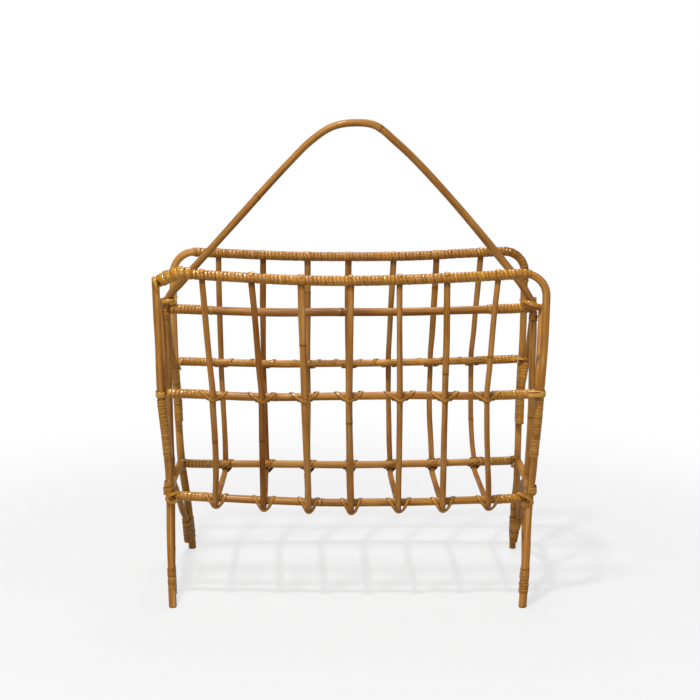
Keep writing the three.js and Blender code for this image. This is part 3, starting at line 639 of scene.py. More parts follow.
# Each slot's dark, middle and light colour, roughness, weight and roughness of its gloss, and streakiness
LOOKS = {
    "frame_cane": ((116, 69, 25), (154, 105, 46), (184, 137, 80), 0.5, 0.06, 0.15, 1),
    "handle_cane": ((110, 66, 25), (146, 101, 46), (176, 131, 78), 0.46, 0.1, 0.15, 1),
    "rail_cane": ((111, 64, 18), (152, 102, 36), (183, 133, 66), 0.46, 0.24, 0.22, 1),
    "rib_cane": ((103, 57, 16), (141, 93, 40), (168, 125, 70), 0.46, 0.07, 0.15, 1),
    "peel": ((113, 65, 8), (154, 103, 25), (185, 138, 50), 0.46, 0.62, 0.12, 0.8),
    "lashing": ((110, 62, 12), (152, 102, 31), (182, 134, 60), 0.42, 0.3, 0.1, 0.8),
}
MATERIALS = {name: rattan(name, *look) for name, look in LOOKS.items()}


# Centre lines

# Width, depth and height of the frame, from the floor up
LEVELS = np.array([
    (FOOT_WIDTH, FOOT_DEPTH, 0),
    (BOTTOM_WIDTH, BOTTOM_DEPTH, BOTTOM_HEIGHT),
    (MID_WIDTH, MID_DEPTH, MID_HEIGHT),
    (TOP_WIDTH, TOP_DEPTH, TOP_HEIGHT),
])


class Upright:
    """A hand-bent upright, named after its face and side."""

    def __init__(self, face, side):
        self.name = f"{FACES[face]}_{SIDES[side]}"
        self.face = face
        self.side = side
        self.radius = BEND_RADII[self.name]
        halfway = (LEVELS[:-1] + LEVELS[1:]) / 2
        points = np.insert(LEVELS, [1, 2, 3], halfway, axis=0) * [side / 2, face / 2, 1]
        below = points[0] - (points[1] - points[0]) / 6
        self.line = spline([below, *points], 40)
        drift = spline([(z, d / 1000, 0) for z, d in zip(DRIFT_HEIGHTS, DRIFTS[self.name])], 8)
        self.line[:, 0] += side * np.interp(self.line[:, 2], drift[:, 0], drift[:, 1])

    def at(self, z):
        heights = self.line[:, 2]
        return np.stack([np.interp(z, heights, self.line[:, k]) for k in range(3)], -1)


UPRIGHTS = {(face, side): Upright(face, side) for face in FACES for side in SIDES}


class Rail:
    """A rail between two heights: it sags and bows out towards its middle, and waves a little."""

    def __init__(self, level, face, left, right, sag, waves):
        self.radius, self.depth, self.width, self.span, self.bow = LEVEL_FACTS[level]
        self.face, self.left, self.right, self.sag = face, left, right, sag
        self.waves = spline([(x, rise, 0) for x, rise in waves], 8) / 1000

    def at(self, x):
        x = np.asarray(x, float)
        dip = 1 - np.minimum(1, (2 * x / self.span) ** 2)
        height = self.end(x / self.span + 0.5) - self.sag * dip
        height = height + np.interp(x, self.waves[:, 0], self.waves[:, 1])
        return np.stack([x, self.face * (self.depth / 2 + self.bow * dip), height], -1)

    def end(self, share):
        return self.left + (self.right - self.left) * np.clip(share, 0, 1)


RAILS = {key: Rail(*key, *facts) for key, facts in RAIL_FACTS.items()}


def end_height(level, upright):
    return RAILS[level, upright.face].end((upright.side + 1) / 2)


def shoulder_height(upright):
    return end_height("top", upright) - upright.radius


def leg_line(upright):
    return upright.at(np.linspace(0, shoulder_height(upright), 160))


def corner_line(upright):
    """The bend from an upright into its top rail."""
    start = upright.at(shoulder_height(upright))
    end = RAILS["top", upright.face].at(start[0] - upright.side * upright.radius)
    share = np.linspace(0, 1, 26)[1:-1]
    angle = share * math.pi / 2
    return np.stack([
        start[0] - upright.side * upright.radius * (1 - np.cos(angle)),
        start[1] + (end[1] - start[1]) * share,
        start[2] + (end[2] - start[2]) * np.sin(angle),
    ], -1)


def rail_end(upright):
    """How far along X the straight part of a top rail goes on the upright's side."""
    return upright.at(shoulder_height(upright))[0] - upright.side * upright.radius


def rail_line(level, face, start, end, steps=120):
    return RAILS[level, face].at(np.linspace(start, end, steps))


def tail_line():
    """The front hoop's end, which dips under the top rail's line to the front left upright."""
    post = UPRIGHTS[-1, -1].at(CUT_TOP_HEIGHT - FRAME_CANE)
    end_x = post[0] + FRAME_CANE + 2 * SEAT_GAP + FRAME_CANE * math.sqrt(0.5)
    start_x = end_x + TAIL_RUN
    start = RAILS["top", -1].at(start_x)
    points = [RAILS["top", -1].at(start_x + 0.01), start]
    for along, down in TAIL_SHARES:
        points.append(start + np.array([(end_x - start_x) * along, 0, -TAIL_DROP * down]))
    return spline(points, 10)


def pole_x(side, height):
    return side * np.interp(height, POLE_HEIGHTS, POLES[side])


def side_rail_x(side, y):
    front = UPRIGHTS[-1, side].at(BOTTOM_HEIGHT)[0]
    back = UPRIGHTS[1, side].at(BOTTOM_HEIGHT)[0]
    dip = 1 - np.minimum(1, (2 * y / BOTTOM_DEPTH) ** 2)
    return front + (back - front) * (0.5 + y / BOTTOM_DEPTH) + side * SIDE_BOW * dip


def handle_line():
    foot = BOTTOM_HEIGHT + BOTTOM_CANE + SEAT_GAP
    heights = [foot, *POLE_HEIGHTS[1:-1], JOINT_HEIGHT - 0.004]
    left = [(pole_x(-1, z), 0, z) for z in heights]
    right = [(pole_x(1, z), 0, z) for z in heights[::-1]]
    rise = HANDLE_HEIGHT - JOINT_HEIGHT
    bow = [(x * POLE_WIDTH / 2, 0, JOINT_HEIGHT + z * rise) for x, z in HANDLE_SHARES]
    return spline([*left, *bow, *right], 30)


def beside(upright, z, apart, turns):
    """A place beside an upright, on its inner side and turned towards the basket's middle."""
    heights, degrees = zip(*turns[upright.name][::-1])
    turn = math.radians(float(np.interp(z, heights, degrees)))
    shift = np.array([-upright.side * math.sin(turn), -upright.face * math.cos(turn), 0])
    return upright.at(z) + apart * shift


def brace_place(upright, z):
    return beside(upright, z, FRAME_CANE + BRACE_CANE + BRACE_GAP, BRACE_TURNS)


def brace_line(upright):
    out_x, out_y, top = BRACE_STARTS[upright.name]

    def start(z):
        return np.array([pole_x(upright.side, z) + upright.side * out_x, upright.face * out_y, z])

    knee = start(top - BRACE_KNEE_DROP)
    meet = brace_place(upright, BRACE_MEET_HEIGHT)
    tenth, *others = (knee + (meet - knee) * share for share in (1 / 10, 1 / 4, 1 / 2, 3 / 4, 9 / 10))
    lower = [brace_place(upright, z) for z in BRACE_HEIGHTS]
    return spline([start(top), start(top - 0.008), tenth + (knee - tenth) / 3, *others, *lower], 14)


def arch_place(upright, z):
    lean = math.atan((FOOT_DEPTH - BOTTOM_DEPTH) / 2 / BOTTOM_HEIGHT)
    return beside(upright, z, (FRAME_CANE + ARCH_CANE + SEAT_GAP) / math.cos(lean), ARCH_TURNS)


def arch_half(upright):
    """A leg arch from the foot of one upright up to the middle of its side rail."""
    side = upright.side
    crown = BOTTOM_HEIGHT - BOTTOM_CANE - ARCH_CANE - SEAT_GAP
    y = upright.face * ARCH_SHOULDER
    leave = arch_place(upright, ARCH_LEAVE_HEIGHT)
    shoulder = np.array([side_rail_x(side, y), y, crown - ARCH_CANE])
    way = [leave + (shoulder - leave) * share for share in (1 / 4, 5 / 8, 1)]
    return [
        arch_place(upright, ARCH_END_HEIGHT),
        arch_place(upright, (ARCH_END_HEIGHT + ARCH_LEAVE_HEIGHT) / 2),
        leave,
        *(point + np.array([side * out / 1000, 0, 0]) for point, out in zip(way, ARCH_BULGES[upright.name])),
        np.array([side_rail_x(side, y / 2) - (LEFT_CROWN_SHIFT if side < 0 else 0), y / 2, crown]),
    ]


def rib_stray(face, index, height):
    return float(np.interp(height, RIB_HEIGHTS, RIB_STRAYS[face][index])) / 1000


def rib_x(face, level, index):
    straight = RIB_SHARES[face][level][index] * RAILS[level, face].width / RIB_SPACES
    return straight + rib_stray(face, index, RIB_LEVELS[level])


def rib_half(face, index):
    """A rib from the top rail down past the mid and bottom rails, and a little way under the floor."""
    radius = RIB_CANES[index]
    top, mid, bottom = (RAILS[level, face].at(rib_x(face, level, index)) for level in RIB_LEVELS)
    reach_mid = MID_CANE + SEAT_GAP + radius
    reach_bottom = BOTTOM_CANE + SEAT_GAP + radius

    def out(point, reach, drop):
        return point + np.array([0, face * reach, -drop])

    def stretch(low, high, heights):
        """Places between two points, at the measured heights between the first and the last, top down."""
        stray_low, stray_high = rib_stray(face, index, heights[0]), rib_stray(face, index, heights[-1])
        bulge = np.array([0, face * radius / 2, 0])
        rows = []
        for height in heights[-2:0:-1]:
            share = (height - low[2]) / (high[2] - low[2])
            point = low + (high - low) * share + bulge * math.sin(math.pi * share)
            straight = low[0] - stray_low + (high[0] - stray_high - low[0] + stray_low) * share
            point[0] = straight + rib_stray(face, index, height)
            rows.append(point)
        return rows

    start = out(top, 0, RIB_TOP_DROP)
    pass_mid = out(mid, reach_mid, 0)
    pass_bottom = out(bottom, reach_bottom, -radius)
    bend = [
        out(bottom, reach_bottom * math.cos(angle), reach_bottom * math.sin(angle))
        for angle in np.linspace(0, math.pi / 2, 5)
    ]
    return [
        start,
        *stretch(pass_mid, start, RIB_HEIGHTS[MID_STATION:]),
        out(mid, reach_mid, -2 * radius),
        out(mid, reach_mid, 2 * radius),
        *stretch(pass_bottom, pass_mid, RIB_HEIGHTS[:MID_STATION + 1]),
        pass_bottom,
        *bend,
        out(bottom, -2 * reach_bottom, reach_bottom),
    ]


# Canes

def leg_girth(centres, low):
    """A leg's girth: low under the bottom rail, FOOT_GIRTH at the foot, and 1 above the rail."""
    z = centres[:, 2]
    share = FOOT_GIRTH + (low - FOOT_GIRTH) * ramp(z, 0.014, 0.03)
    return share + (1 - share) * ramp(z, 0.108, 0.135)


def back_frame_girth(centres):
    """The back hoop is slimmer round its right corner."""
    corner = ramp(centres[:, 0], 0.175, 0.19) * ramp(centres[:, 2], 0.335, 0.345)
    return leg_girth(centres, LEG_GIRTHS["back_right"]) * (1 - 0.12 * corner)


def back_frame_tint(centres):
    """The back hoop's left side is lighter above the bottom rail."""
    return 0.42 + 0.3 * (1 - ramp(centres[:, 0], -0.15, -0.1)) * ramp(centres[:, 2], 0.12, 0.14)


def handle_girth(centres):
    share = np.interp(centres[:, 0], [-0.02, 0.06, 0.12, 0.17], [0, 0.06, 0.06, 0.12])
    return 1 + share * ramp(centres[:, 2], 0.333, 0.345)


def rib_girth(centres):
    """The ribs' back halves are a little stouter towards the top."""
    return 1 + 0.13 * ramp(centres[:, 1], 0, 0.03) * ramp(centres[:, 2], 0.24, 0.32)


def frame_canes():
    left, right = UPRIGHTS[1, -1], UPRIGHTS[1, 1]
    rail = rail_line("top", 1, rail_end(left), rail_end(right))
    right_side = np.vstack([leg_line(right), corner_line(right)])[::-1]
    line = np.vstack([leg_line(left), corner_line(left), rail, right_side])
    cane("back_frame_cane", line, FRAME_CANE, "frame_cane", ["back_frame_hoop"], feet=2, tint=back_frame_tint,
         nodes=[0.02, 0.2, 0.45, 0.6, 0.935, 1.11], girths=back_frame_girth)
    right = UPRIGHTS[-1, 1]
    tail = tail_line()
    rail = rail_line("top", -1, rail_end(right), tail[0][0])
    line = np.vstack([leg_line(right), corner_line(right), rail, tail[1:]])
    cane("front_frame_cane", line, FRAME_CANE, "frame_cane", ["front_frame_hoop"], feet=1, tint=0.46,
         nodes=[0.02, 0.2, 0.45, 0.6], girths=lambda centres: leg_girth(centres, LEG_GIRTHS["front_right"]))
    post = UPRIGHTS[-1, -1].at(np.linspace(0, CUT_TOP_HEIGHT, 170))
    cane("front_left_cane", post, FRAME_CANE, "frame_cane", ["front_left_upright"], feet=1, tint=0.4,
         nodes=[0.02, 0.2], girths=lambda centres: leg_girth(centres, LEG_GIRTHS["front_left"]))


def handle_and_divider():
    cane("handle_cane", handle_line(), HANDLE_CANE, "handle_cane", ["handle_hoop"], tint=0.38,
         nodes=[0.02, 0.37, 0.545, 0.95], girths=handle_girth)
    start, end = (pole_x(side, DIVIDER_HEIGHT) - side * (HANDLE_CANE + SEAT_GAP) for side in SIDES)
    line = rail_line("divider", 0, start, end)
    cane("divider_cane", line, DIVIDER_CANE, "rail_cane", ["divider_rail"], tint=0.18, nodes=[0.02, 0.2])


# How far the ends of the mid rails keep from the middle of their uprights
MID_SETBACKS = {"front_left": 0.0073, "front_right": 0.0073, "back_left": 0.0036, "back_right": 0.0055}


def rail_stop(level, upright):
    """Where a mid or bottom rail ends beside an upright."""
    setback = MID_SETBACKS[upright.name] if level == "mid" else FRAME_CANE + SEAT_GAP
    return upright.at(end_height(level, upright))[0] - upright.side * setback


# The mid and bottom rails' tints, and how dark their ends are painted, as painted shade in the shaded corners
# at the uprights
# The back rails' higher tint is painted light, making up for less light reaching them; the front rails' tint
# is their own tone.
RAIL_TONES_AND_PAINTED_LIGHT = {-1: 0.4, 1: 0.64}
RAIL_END_SHADING = {"mid": 0, "bottom": 0.85}


def long_canes():
    for level in RAIL_END_SHADING:
        for face, word in FACES.items():
            start, end = (rail_stop(level, UPRIGHTS[face, side]) for side in SIDES)
            line = rail_line(level, face, start, end)
            cane(f"{word}_{level}_cane", line, RAILS[level, face].radius, "rail_cane",
                 [f"{word}_{level}_rail"], tint=RAIL_TONES_AND_PAINTED_LIGHT[face], end_shading=RAIL_END_SHADING[level])


def side_canes():
    """The side bottom rails and the leg arches under them."""
    reach = BOTTOM_DEPTH / 2 - FRAME_CANE - 2 * SEAT_GAP
    y = np.linspace(-reach, reach, 60)
    for side, word in SIDES.items():
        front, back = UPRIGHTS[-1, side], UPRIGHTS[1, side]
        low, high = end_height("bottom", front), end_height("bottom", back)
        line = np.stack([side_rail_x(side, y), y, low + (high - low) * (y / BOTTOM_DEPTH + 0.5)], -1)
        cane(f"side_cane_{word}", line, BOTTOM_CANE, "rail_cane", [f"side_bottom_rail_{word}"])
        line = spline([*arch_half(front), *arch_half(back)[::-1]], 14)
        cane(f"leg_arch_cane_{word}", line, ARCH_CANE, "frame_cane", [f"leg_arch_{word}"])


def brace_canes():
    for upright in UPRIGHTS.values():
        cane(f"brace_cane_{upright.name}", brace_line(upright), BRACE_CANE, "frame_cane",
             [f"brace_{upright.name}"], tint=0.55, nodes=[])


RIB_TINTS = [0.53, 0.22, 0.65, 0.5, 0.52, 0.55, 0.65]
RIB_NODES = {3: [0.1545, 0.4, 0.58], 4: [0.4, 0.6]}


def rib_canes():
    for i in range(RIB_COUNT):
        line = spline([*rib_half(-1, i), *rib_half(1, i)[::-1]], 16)
        # Rib ends are darkened with painted shade where they go in under the top rails' windings.
        cane(f"rib_cane_{i + 1}", line, RIB_CANES[i], "rib_cane", [f"rib_{i + 1}"], tint=RIB_TINTS[i],
             oval=0.04, end_shading=0.9, girths=rib_girth, nodes=RIB_NODES.get(i))


# Windings

def rail_winding(name, level, face, ends, **options):
    line = rail_line(level, face, *sorted(ends), 200)
    winding(name, line, RAILS[level, face].radius, **options)


def top_winding(face, start, left_corner, lift, right_run, slimming, tint):
    """The winding on a top rail, which goes on round the right corner for a given run and slims there."""
    word = FACES[face]
    right = UPRIGHTS[face, 1]
    rail = rail_line("top", face, start, rail_end(right))
    whole = Route(np.vstack([left_corner, rail, corner_line(right)[::-1], leg_line(right)[::-1]]))
    length = Route(np.vstack([left_corner, rail])).length + right_run
    kept = whole.at(np.linspace(0, length, 300)) - np.array([0, 0, TOP_WINDING_DROP])
    length = Route(kept).length
    bend = ((length - right_run) / length, (length - 0.6 * right_run) / length)
    winding(f"{word}_top_winding", kept, FRAME_CANE + lift, replaces=[f"{word}_top_rail_winding"], tint=tint,
            uneven=1.3, swell=lambda share: -slimming * ramp(share, *bend))


def top_windings():
    top_winding(-1, BUNDLE_START, np.empty((0, 3)), lift=0.0006, right_run=0.006, slimming=0, tint=0.42)
    left = UPRIGHTS[1, -1]
    top_winding(1, rail_end(left), corner_line(left)[-1:], lift=0.0005, right_run=0.0515, slimming=0.0005,
                tint=0.27)


# How far the windings keep from the middle of the last rib, and of the upright at the bottom rails
MID_RIB_SETBACK = 0.0065
BOTTOM_RIB_SETBACK = 0.0055
BOTTOM_POST_SETBACKS = {-1: FRAME_CANE + 0.004, 1: FRAME_CANE + 0.001}


def rail_end_windings():
    for upright in UPRIGHTS.values():
        name, side, face = upright.name, upright.side, upright.face
        index = 0 if side < 0 else RIB_COUNT - 1
        outer = upright.at(MID_HEIGHT)[0] - side * MID_SETBACKS[name]
        inner = rib_x(face, "mid", index) + side * MID_RIB_SETBACK
        rail_winding(f"mid_end_winding_{name}", "mid", face, (outer, inner),
                     replaces=[f"mid_rail_winding_{name}"], tint=0.45, way=side)
        outer = upright.at(BOTTOM_HEIGHT)[0] - side * BOTTOM_POST_SETBACKS[face]
        inner = rib_x(face, "bottom", index) + side * BOTTOM_RIB_SETBACK
        rail_winding(f"bottom_end_winding_{name}", "bottom", face, (outer, inner),
                     replaces=[f"bottom_rail_winding_{name}"], way=side)


# How long the divider's end windings are, and where its tie starts and ends
DIVIDER_RUNS = {-1: 0.042, 1: 0.049}
DIVIDER_TIE_ENDS = (-0.1636, -0.1598)


def divider_windings():
    for side, word in SIDES.items():
        outer = pole_x(side, DIVIDER_HEIGHT) - side * (HANDLE_CANE + 0.0005)
        rail_winding(f"divider_end_winding_{word}", "divider", 0, (outer, outer - side * DIVIDER_RUNS[side]),
                     replaces=[f"divider_winding_{word}"], tint=0.42, way=side, pitch=0.0040)
    rail_winding("divider_tie", "divider", 0, DIVIDER_TIE_ENDS, pitch=0.0019, tint=0.65, thickness=0.0006,
                 cover=0.85)


def pair_winding(name, upright, place_at, top, bottom, core, **options):
    """A winding round an upright and the cane beside it, which turns round the upright as it goes."""
    heights = np.linspace(top, bottom, 60)
    first = upright.at(heights)
    sideways = np.array([place_at(upright, z) for z in heights]) - first
    spread = float(np.linalg.norm(sideways, axis=1).mean()) / 2
    winding(name, first + sideways / 2, core, sideways, spread=spread, **options)


# Length and pitch of the winding that binds each brace to its upright
POST_WINDINGS = {
    "front_left": (0.068, 0.0033),
    "front_right": (0.068, 0.0036),
    "back_left": (0.0655, 0.0034),
    "back_right": (0.073, 0.0038),
}
FOOT_WINDING_ENDS = (0.043, 0.0135)


def post_windings():
    for upright in UPRIGHTS.values():
        name = upright.name
        length, pitch = POST_WINDINGS[name]
        top = end_height("mid", upright) - MID_CANE - 0.001
        pair_winding(f"post_winding_{name}", upright, brace_place, top, top - length, FRAME_CANE - 0.0002,
                     replaces=[f"brace_winding_{name}"], tint=0.52, pitch=pitch)
        core = FRAME_CANE * LEG_GIRTHS[name]
        pair_winding(f"leg_winding_{name}", upright, arch_place, *FOOT_WINDING_ENDS, core,
                     replaces=[f"foot_winding_{name}"], tint=0.3, uneven=1.8, pitch=0.0036)


# Straps

def rail_end_band(upright, height, tint):
    """A broad closed strip round an upright and its brace at the mid rail."""
    z = end_height("mid", upright)
    here = upright.at(z)
    toward = brace_place(upright, z) - here
    spread = float(np.linalg.norm(toward)) / 2
    radius = FRAME_CANE + 0.0002
    up = unit(upright.at(z + 0.004) - upright.at(z - 0.004))
    aside = unit(np.cross(up, toward))
    apart = np.cross(aside, up)
    around = 2 * math.pi * radius + 4 * spread
    t = np.linspace(0, around, 72, endpoint=False)
    centres, outward = wrap(here + toward / 2, apart, aside, t, radius, spread)
    wave = 0.0003 * np.sin(t / around * 4 * math.pi + 1)
    strip(f"rail_end_band_{upright.name}", centres + wave[:, None] * up, outward, height, 0.0011, "peel",
          [f"mid_strap_{upright.name}"], tint=tint, closed=True)


def mid_joint(face, side):
    """The middle of an upright where its mid rail ends."""
    upright = UPRIGHTS[face, side]
    return upright.at(end_height("mid", upright))


def front_right_wrap():
    """The front rail's right end, shaved thin and wrapped round the upright, and its face above the wrap,
    whose light tint is a painted highlight.
    """
    post = mid_joint(-1, 1)
    front = (RAILS["mid", -1].at(post[0] - 0.012)[1] - MID_CANE - post[1]) * 1000
    r = FRAME_CANE * 1000 + 0.6
    slant = r * 0.72
    tie("rail_end_wrap_front_right", from_base(post, [
        (-13.5, front + 0.6, 0, 0, -1, 0.3),
        (-10.5, front - 0.3, 0, 0, -1, 0.3),
        (-6, front - 0.3, 0, 0, -1, 0.3),
        (-2, -r, 0, 0, -1, 0.3),
        (slant, -slant, 0, 1, -1, 0),
        (r, 0, 0, 1, 0, 0),
        (slant, slant, 0, 1, 1, 0),
        (-1, r, 0, 0, 1, 0),
        (-6, r, 0, 0, 1, 0),
    ]), "rail_cane", width=0.0078, thickness=0.0012, replaces=["mid_strap_front_right"], tint=0.95)
    # The face's high tint paints its top lighter: a painted highlight where the key light falls.
    tie("rail_end_face_front_right", from_base(post, [
        (-13.2, front - 0.4, 3, 0, -0.6, 1),
        (-9.5, front - 0.8, 3, 0, -0.6, 1),
        (-5, front - 0.6, 3, 0, -0.6, 1),
        (0, front + 0.6, 3, 0, -0.6, 1),
        (3, front + 2.6, 3, 0, -0.6, 1),
    ]), "rail_cane", width=[0.0020, 0.0026, 0.0026, 0.0022, 0.0010], thickness=0.0008, tint=1.3)


def back_right_tongue():
    """A pointed end of the back rail over the right pair."""
    post = mid_joint(1, 1)
    near = -(FRAME_CANE + 2 * BRACE_CANE) * 1000 - 1.2
    tie("rail_end_tongue_back_right", from_base(post, [
        (-15.5, -5.2, 0, 0, -1, 0),
        (-10.5, -5.6, 0.4, 0, -1, 0.2),
        (-4, near + 3.5, 1.4, -0.3, -1, 0.2),
        (-0.8, near + 0.5, 1.2, 0, -1, 0.2),
        (2, near - 0.2, 0.4, 0, -1, 0.2),
    ]), "peel", width=[0.0070, 0.0066, 0.0050, 0.0030, 0.0012], thickness=0.0013, tint=0.7)


def back_left_curls():
    """Two curls of the back rail's left end."""
    post = mid_joint(1, -1)
    near = -FRAME_CANE * 1000 - 3.4
    for k, shift in enumerate((4.2, 6.6)):
        tie(f"rail_end_curl_back_left_{k + 1}", from_base(post, [
            (shift + 1.6, -5.4, 3, 0, -1, 1),
            (shift, near, 1.4, 0, -1, 0.3),
            (shift - 0.8, near - 0.6, -2, 0, -1, 0),
            (shift - 0.2, near, -5.6, 0, -1, 0),
            (shift + 1.2, near + 2.2, -8.2, 0, -1, -0.3),
        ]), "peel", width=[0.0022, 0.0026, 0.0026, 0.0022, 0.0012], thickness=0.0009, tint=0.6)


def mid_bands():
    """The rails' shaved ends, each wrapped round its upright in its own way."""
    rail_end_band(UPRIGHTS[-1, -1], 0.0076, 0.8)
    rail_end_band(UPRIGHTS[1, -1], 0.0036, 0.45)
    rail_end_band(UPRIGHTS[1, 1], 0.0036, 0.4)
    front_right_wrap()
    back_right_tongue()
    back_left_curls()


def left_joint_band():
    """A broad closed strip round the pole and both braces at the left joint, and a curl beside it."""
    ring = [
        (0.2, -9.2, 0), (4.9, -7.8, 0.4), (6.3, -2.3, 0.5), (4.9, 6.2, 0.3),
        (0.2, 9.4, 0), (-4.5, 6.2, -0.2), (-6.2, -2.3, -0.3), (-4.5, -7.8, -0.2),
    ]
    rows = [(x, y, rise, x, y, 0) for x, y, rise in ring]
    tie("joint_band_left", from_base((-0.2115, 0.0028, JOINT_HEIGHT + 0.0012), rows), "peel", width=0.0054,
        thickness=0.0019, closed=True, per_span=9, replaces=["handle_strap_left"], tint=0.75)
    tie("joint_curl_left", from_base((0, 0, JOINT_HEIGHT), [
        (-201.2, -5, -2.5, 0.2, -1, 0),
        (-202.4, -5.8, -0.4, 0, -1, 0),
        (-202.6, -6, 2.4, 0, -1, 0),
        (-202, -5.6, 5, 0, -1, 0.2),
        (-200.6, -4.4, 7, 0.3, -1, 0.4),
    ]), "peel", width=[0.0026, 0.0030, 0.0030, 0.0030, 0.0024], thickness=0.0009, tint=0.7)


def right_joint_band():
    """An open strip over the right joint, which tapers to both ends, and a thin strand under it."""
    tie("joint_band_right", from_base((0, 0, JOINT_HEIGHT), [
        (198.5, 2, 1.5, -1, -0.4, 0.3),
        (201.5, -5.5, 1, -0.4, -1, 0.3),
        (207, -9.5, -0.5, -0.1, -1, 0.3),
        (212.5, -10.5, -2, 0.1, -1, 0.3),
        (216.5, -9.5, -3.8, 0.4, -1, 0.2),
        (219.5, -5, -5.5, 1, -0.6, 0),
        (219.5, 3, -6, 1, 0.5, 0),
        (213, 9.5, -4, 0, 1, 0),
    ]), "peel", width=[0.0025, 0.0040, 0.0062, 0.0068, 0.0058, 0.0044, 0.0034, 0.0025], thickness=0.0020,
        replaces=["handle_strap_right"], tint=0.6)
    tie("joint_strand_right", from_base((0, 0, JOINT_HEIGHT), [
        (200, -4.5, -2, -0.4, -1, 0),
        (204, -7.8, -4.4, -0.2, -1, 0),
        (209, -8.6, -6, 0, -1, 0),
        (215, -8.4, -7.2, 0.3, -1, 0),
        (218.5, -5, -8.2, 1, -0.6, 0),
        (219, 1, -8.6, 1, 0, 0),
    ]), "peel", width=0.0030, thickness=0.0011, tint=0.45)


# Ends and pitch of the few turns round each pole under its joint
POLE_WINDINGS = {-1: (0.3098, 0.3212, 0.0030), 1: (0.3088, 0.3176, 0.0044)}


def joint_bands():
    left_joint_band()
    right_joint_band()
    for side, (low, high, pitch) in POLE_WINDINGS.items():
        line = np.array([[pole_x(side, z), 0, z] for z in np.linspace(low, high, 20)])
        # Their low tint darkens them, partly as painted shade under the joint bands.
        winding(f"pole_winding_{SIDES[side]}", line, HANDLE_CANE + 0.0002, tint=0.3, pitch=pitch, uneven=2.5,
                thickness=0.0009)


# Middle of the bundle at the front left corner, and how thick it is under its wraps
BUNDLE_START = -0.1745
BUNDLE = [
    (-0.1805, 0.3792), (-0.1894, 0.3789), (-0.1960, 0.3773),
    (-0.2026, 0.3745), (-0.2078, 0.3718), (-0.2118, 0.3694),
]
BUNDLE_RADII = [0.0049, 0.0056, 0.0066, 0.0062, 0.0064, 0.0062, 0.0048]


def bundle_swell(share):
    return np.interp(share, np.linspace(0, 1, len(BUNDLE_RADII)), BUNDLE_RADII) - BUNDLE_RADII[0]


def corner_bundle():
    start = RAILS["top", -1].at(BUNDLE_START)
    post = UPRIGHTS[-1, -1].at(CUT_TOP_HEIGHT)
    depths = np.linspace(start[1], post[1], len(BUNDLE))
    line = spline([start, *((x, y, z) for (x, z), y in zip(BUNDLE, depths))], 10)
    winding("corner_bundle", line, BUNDLE_RADII[0], pitch=0.0074, uneven=1.8, tint=0.52, cover=1.03,
            thickness=0.0013, replaces=["corner_winding_front_left"], start=0.3, swell=bundle_swell)
    r = FRAME_CANE * 1000 + 0.5
    tie("corner_loop", from_base(post, [
        (2.2, -r, -13, 0, -1, 0),
        (0.8, -r, -7, 0, -1, 0),
        (-0.4, -r * 0.95, -2.2, -0.2, -1, 0.5),
        (-1, -r * 0.2, 0.6, -0.3, 0, 1),
        (-0.6, r * 0.8, -1.2, 0, 1, 1),
        (0, r, -5, 0, 1, 0),
        (0, r, -10, 0, 1, 0),
    ]), "peel", width=[0.0014, 0.0036, 0.0050, 0.0054, 0.0052, 0.005, 0.005], thickness=0.0013,
        replaces=["corner_strap_front_left"], tint=0.62)


# Loose wraps where the front posts meet the bottom rails: ends, outward shift, and swellings on the way
CORNER_WRAPS = {
    -1: (0.1225, 0.1420, 0.0009, (-0.0009, 0.0001, 0.0014, 0.0002)),
    1: (0.1235, 0.1335, 0.0019, (-0.0008, 0, 0.0003, -0.0008)),
}
WRAP_SHARES = (0, 0.35, 0.7, 1)
# Loose loops round the ends of the bottom rails: millimetres to the right, forward and up
CORNER_LOOPS = {
    (-1, -1): [
        (10.6, 3.2, 4.4), (5.6, 5.6, 3.4), (0.8, 5.6, 1.4), (-2.6, 5.2, -1.8), (-1.4, 5.6, -5.6),
        (3.6, 5.8, -7.0), (8.6, 4.0, -5.2),
    ],
    (-1, 1): [
        (-14.6, 3.6, 5.0), (-9.8, 5.6, 3.8), (-3.6, 5.8, 0.8), (1.8, 5.8, -3.2), (1.6, 5.8, -6.2),
        (-4.6, 5.8, -7.6), (-9.6, 4.0, -6.4),
    ],
    (1, -1): [
        (6.6, 4.6, 4.6), (0.2, 5.6, 4.8), (-3.8, 5.2, 1.4), (-3.4, 5.2, -4.0), (0.6, 5.6, -6.6),
        (5.6, 4.6, -5.0),
    ],
    (1, 1): [
        (-9.2, 4.6, 4.6), (-3.2, 5.6, 5.2), (2.0, 5.2, 2.0), (2.2, 5.2, -3.4), (-2.0, 5.6, -6.4),
        (-8.0, 4.6, -4.8),
    ],
}


def corner_wraps():
    for side, (low, high, out, swells) in CORNER_WRAPS.items():
        upright = UPRIGHTS[-1, side]
        line = upright.at(np.linspace(high, low, 20)) + np.array([side * out, 0, 0])
        winding(f"corner_wrap_{upright.name}", line, FRAME_CANE + 0.0004, (1, 0, 0), pitch=0.0044, uneven=3,
                thickness=0.0006, swell=lambda share: np.interp(share, WRAP_SHARES, swells))
    for key, loop in CORNER_LOOPS.items():
        upright = UPRIGHTS[key]
        base = upright.at(end_height("bottom", upright))
        rows = [(x, -y, z, 0, -1, 0.25 * np.sign(z)) for x, y, z in loop]
        tie(f"corner_loop_{upright.name}", from_base(base, rows), "lashing", width=0.0042, thickness=0.0012,
            tint=0.6, outline=1.1)


# Lashings

# How far the strip lies off the rail, in millimetres
LASHING_LIFT = 0.4


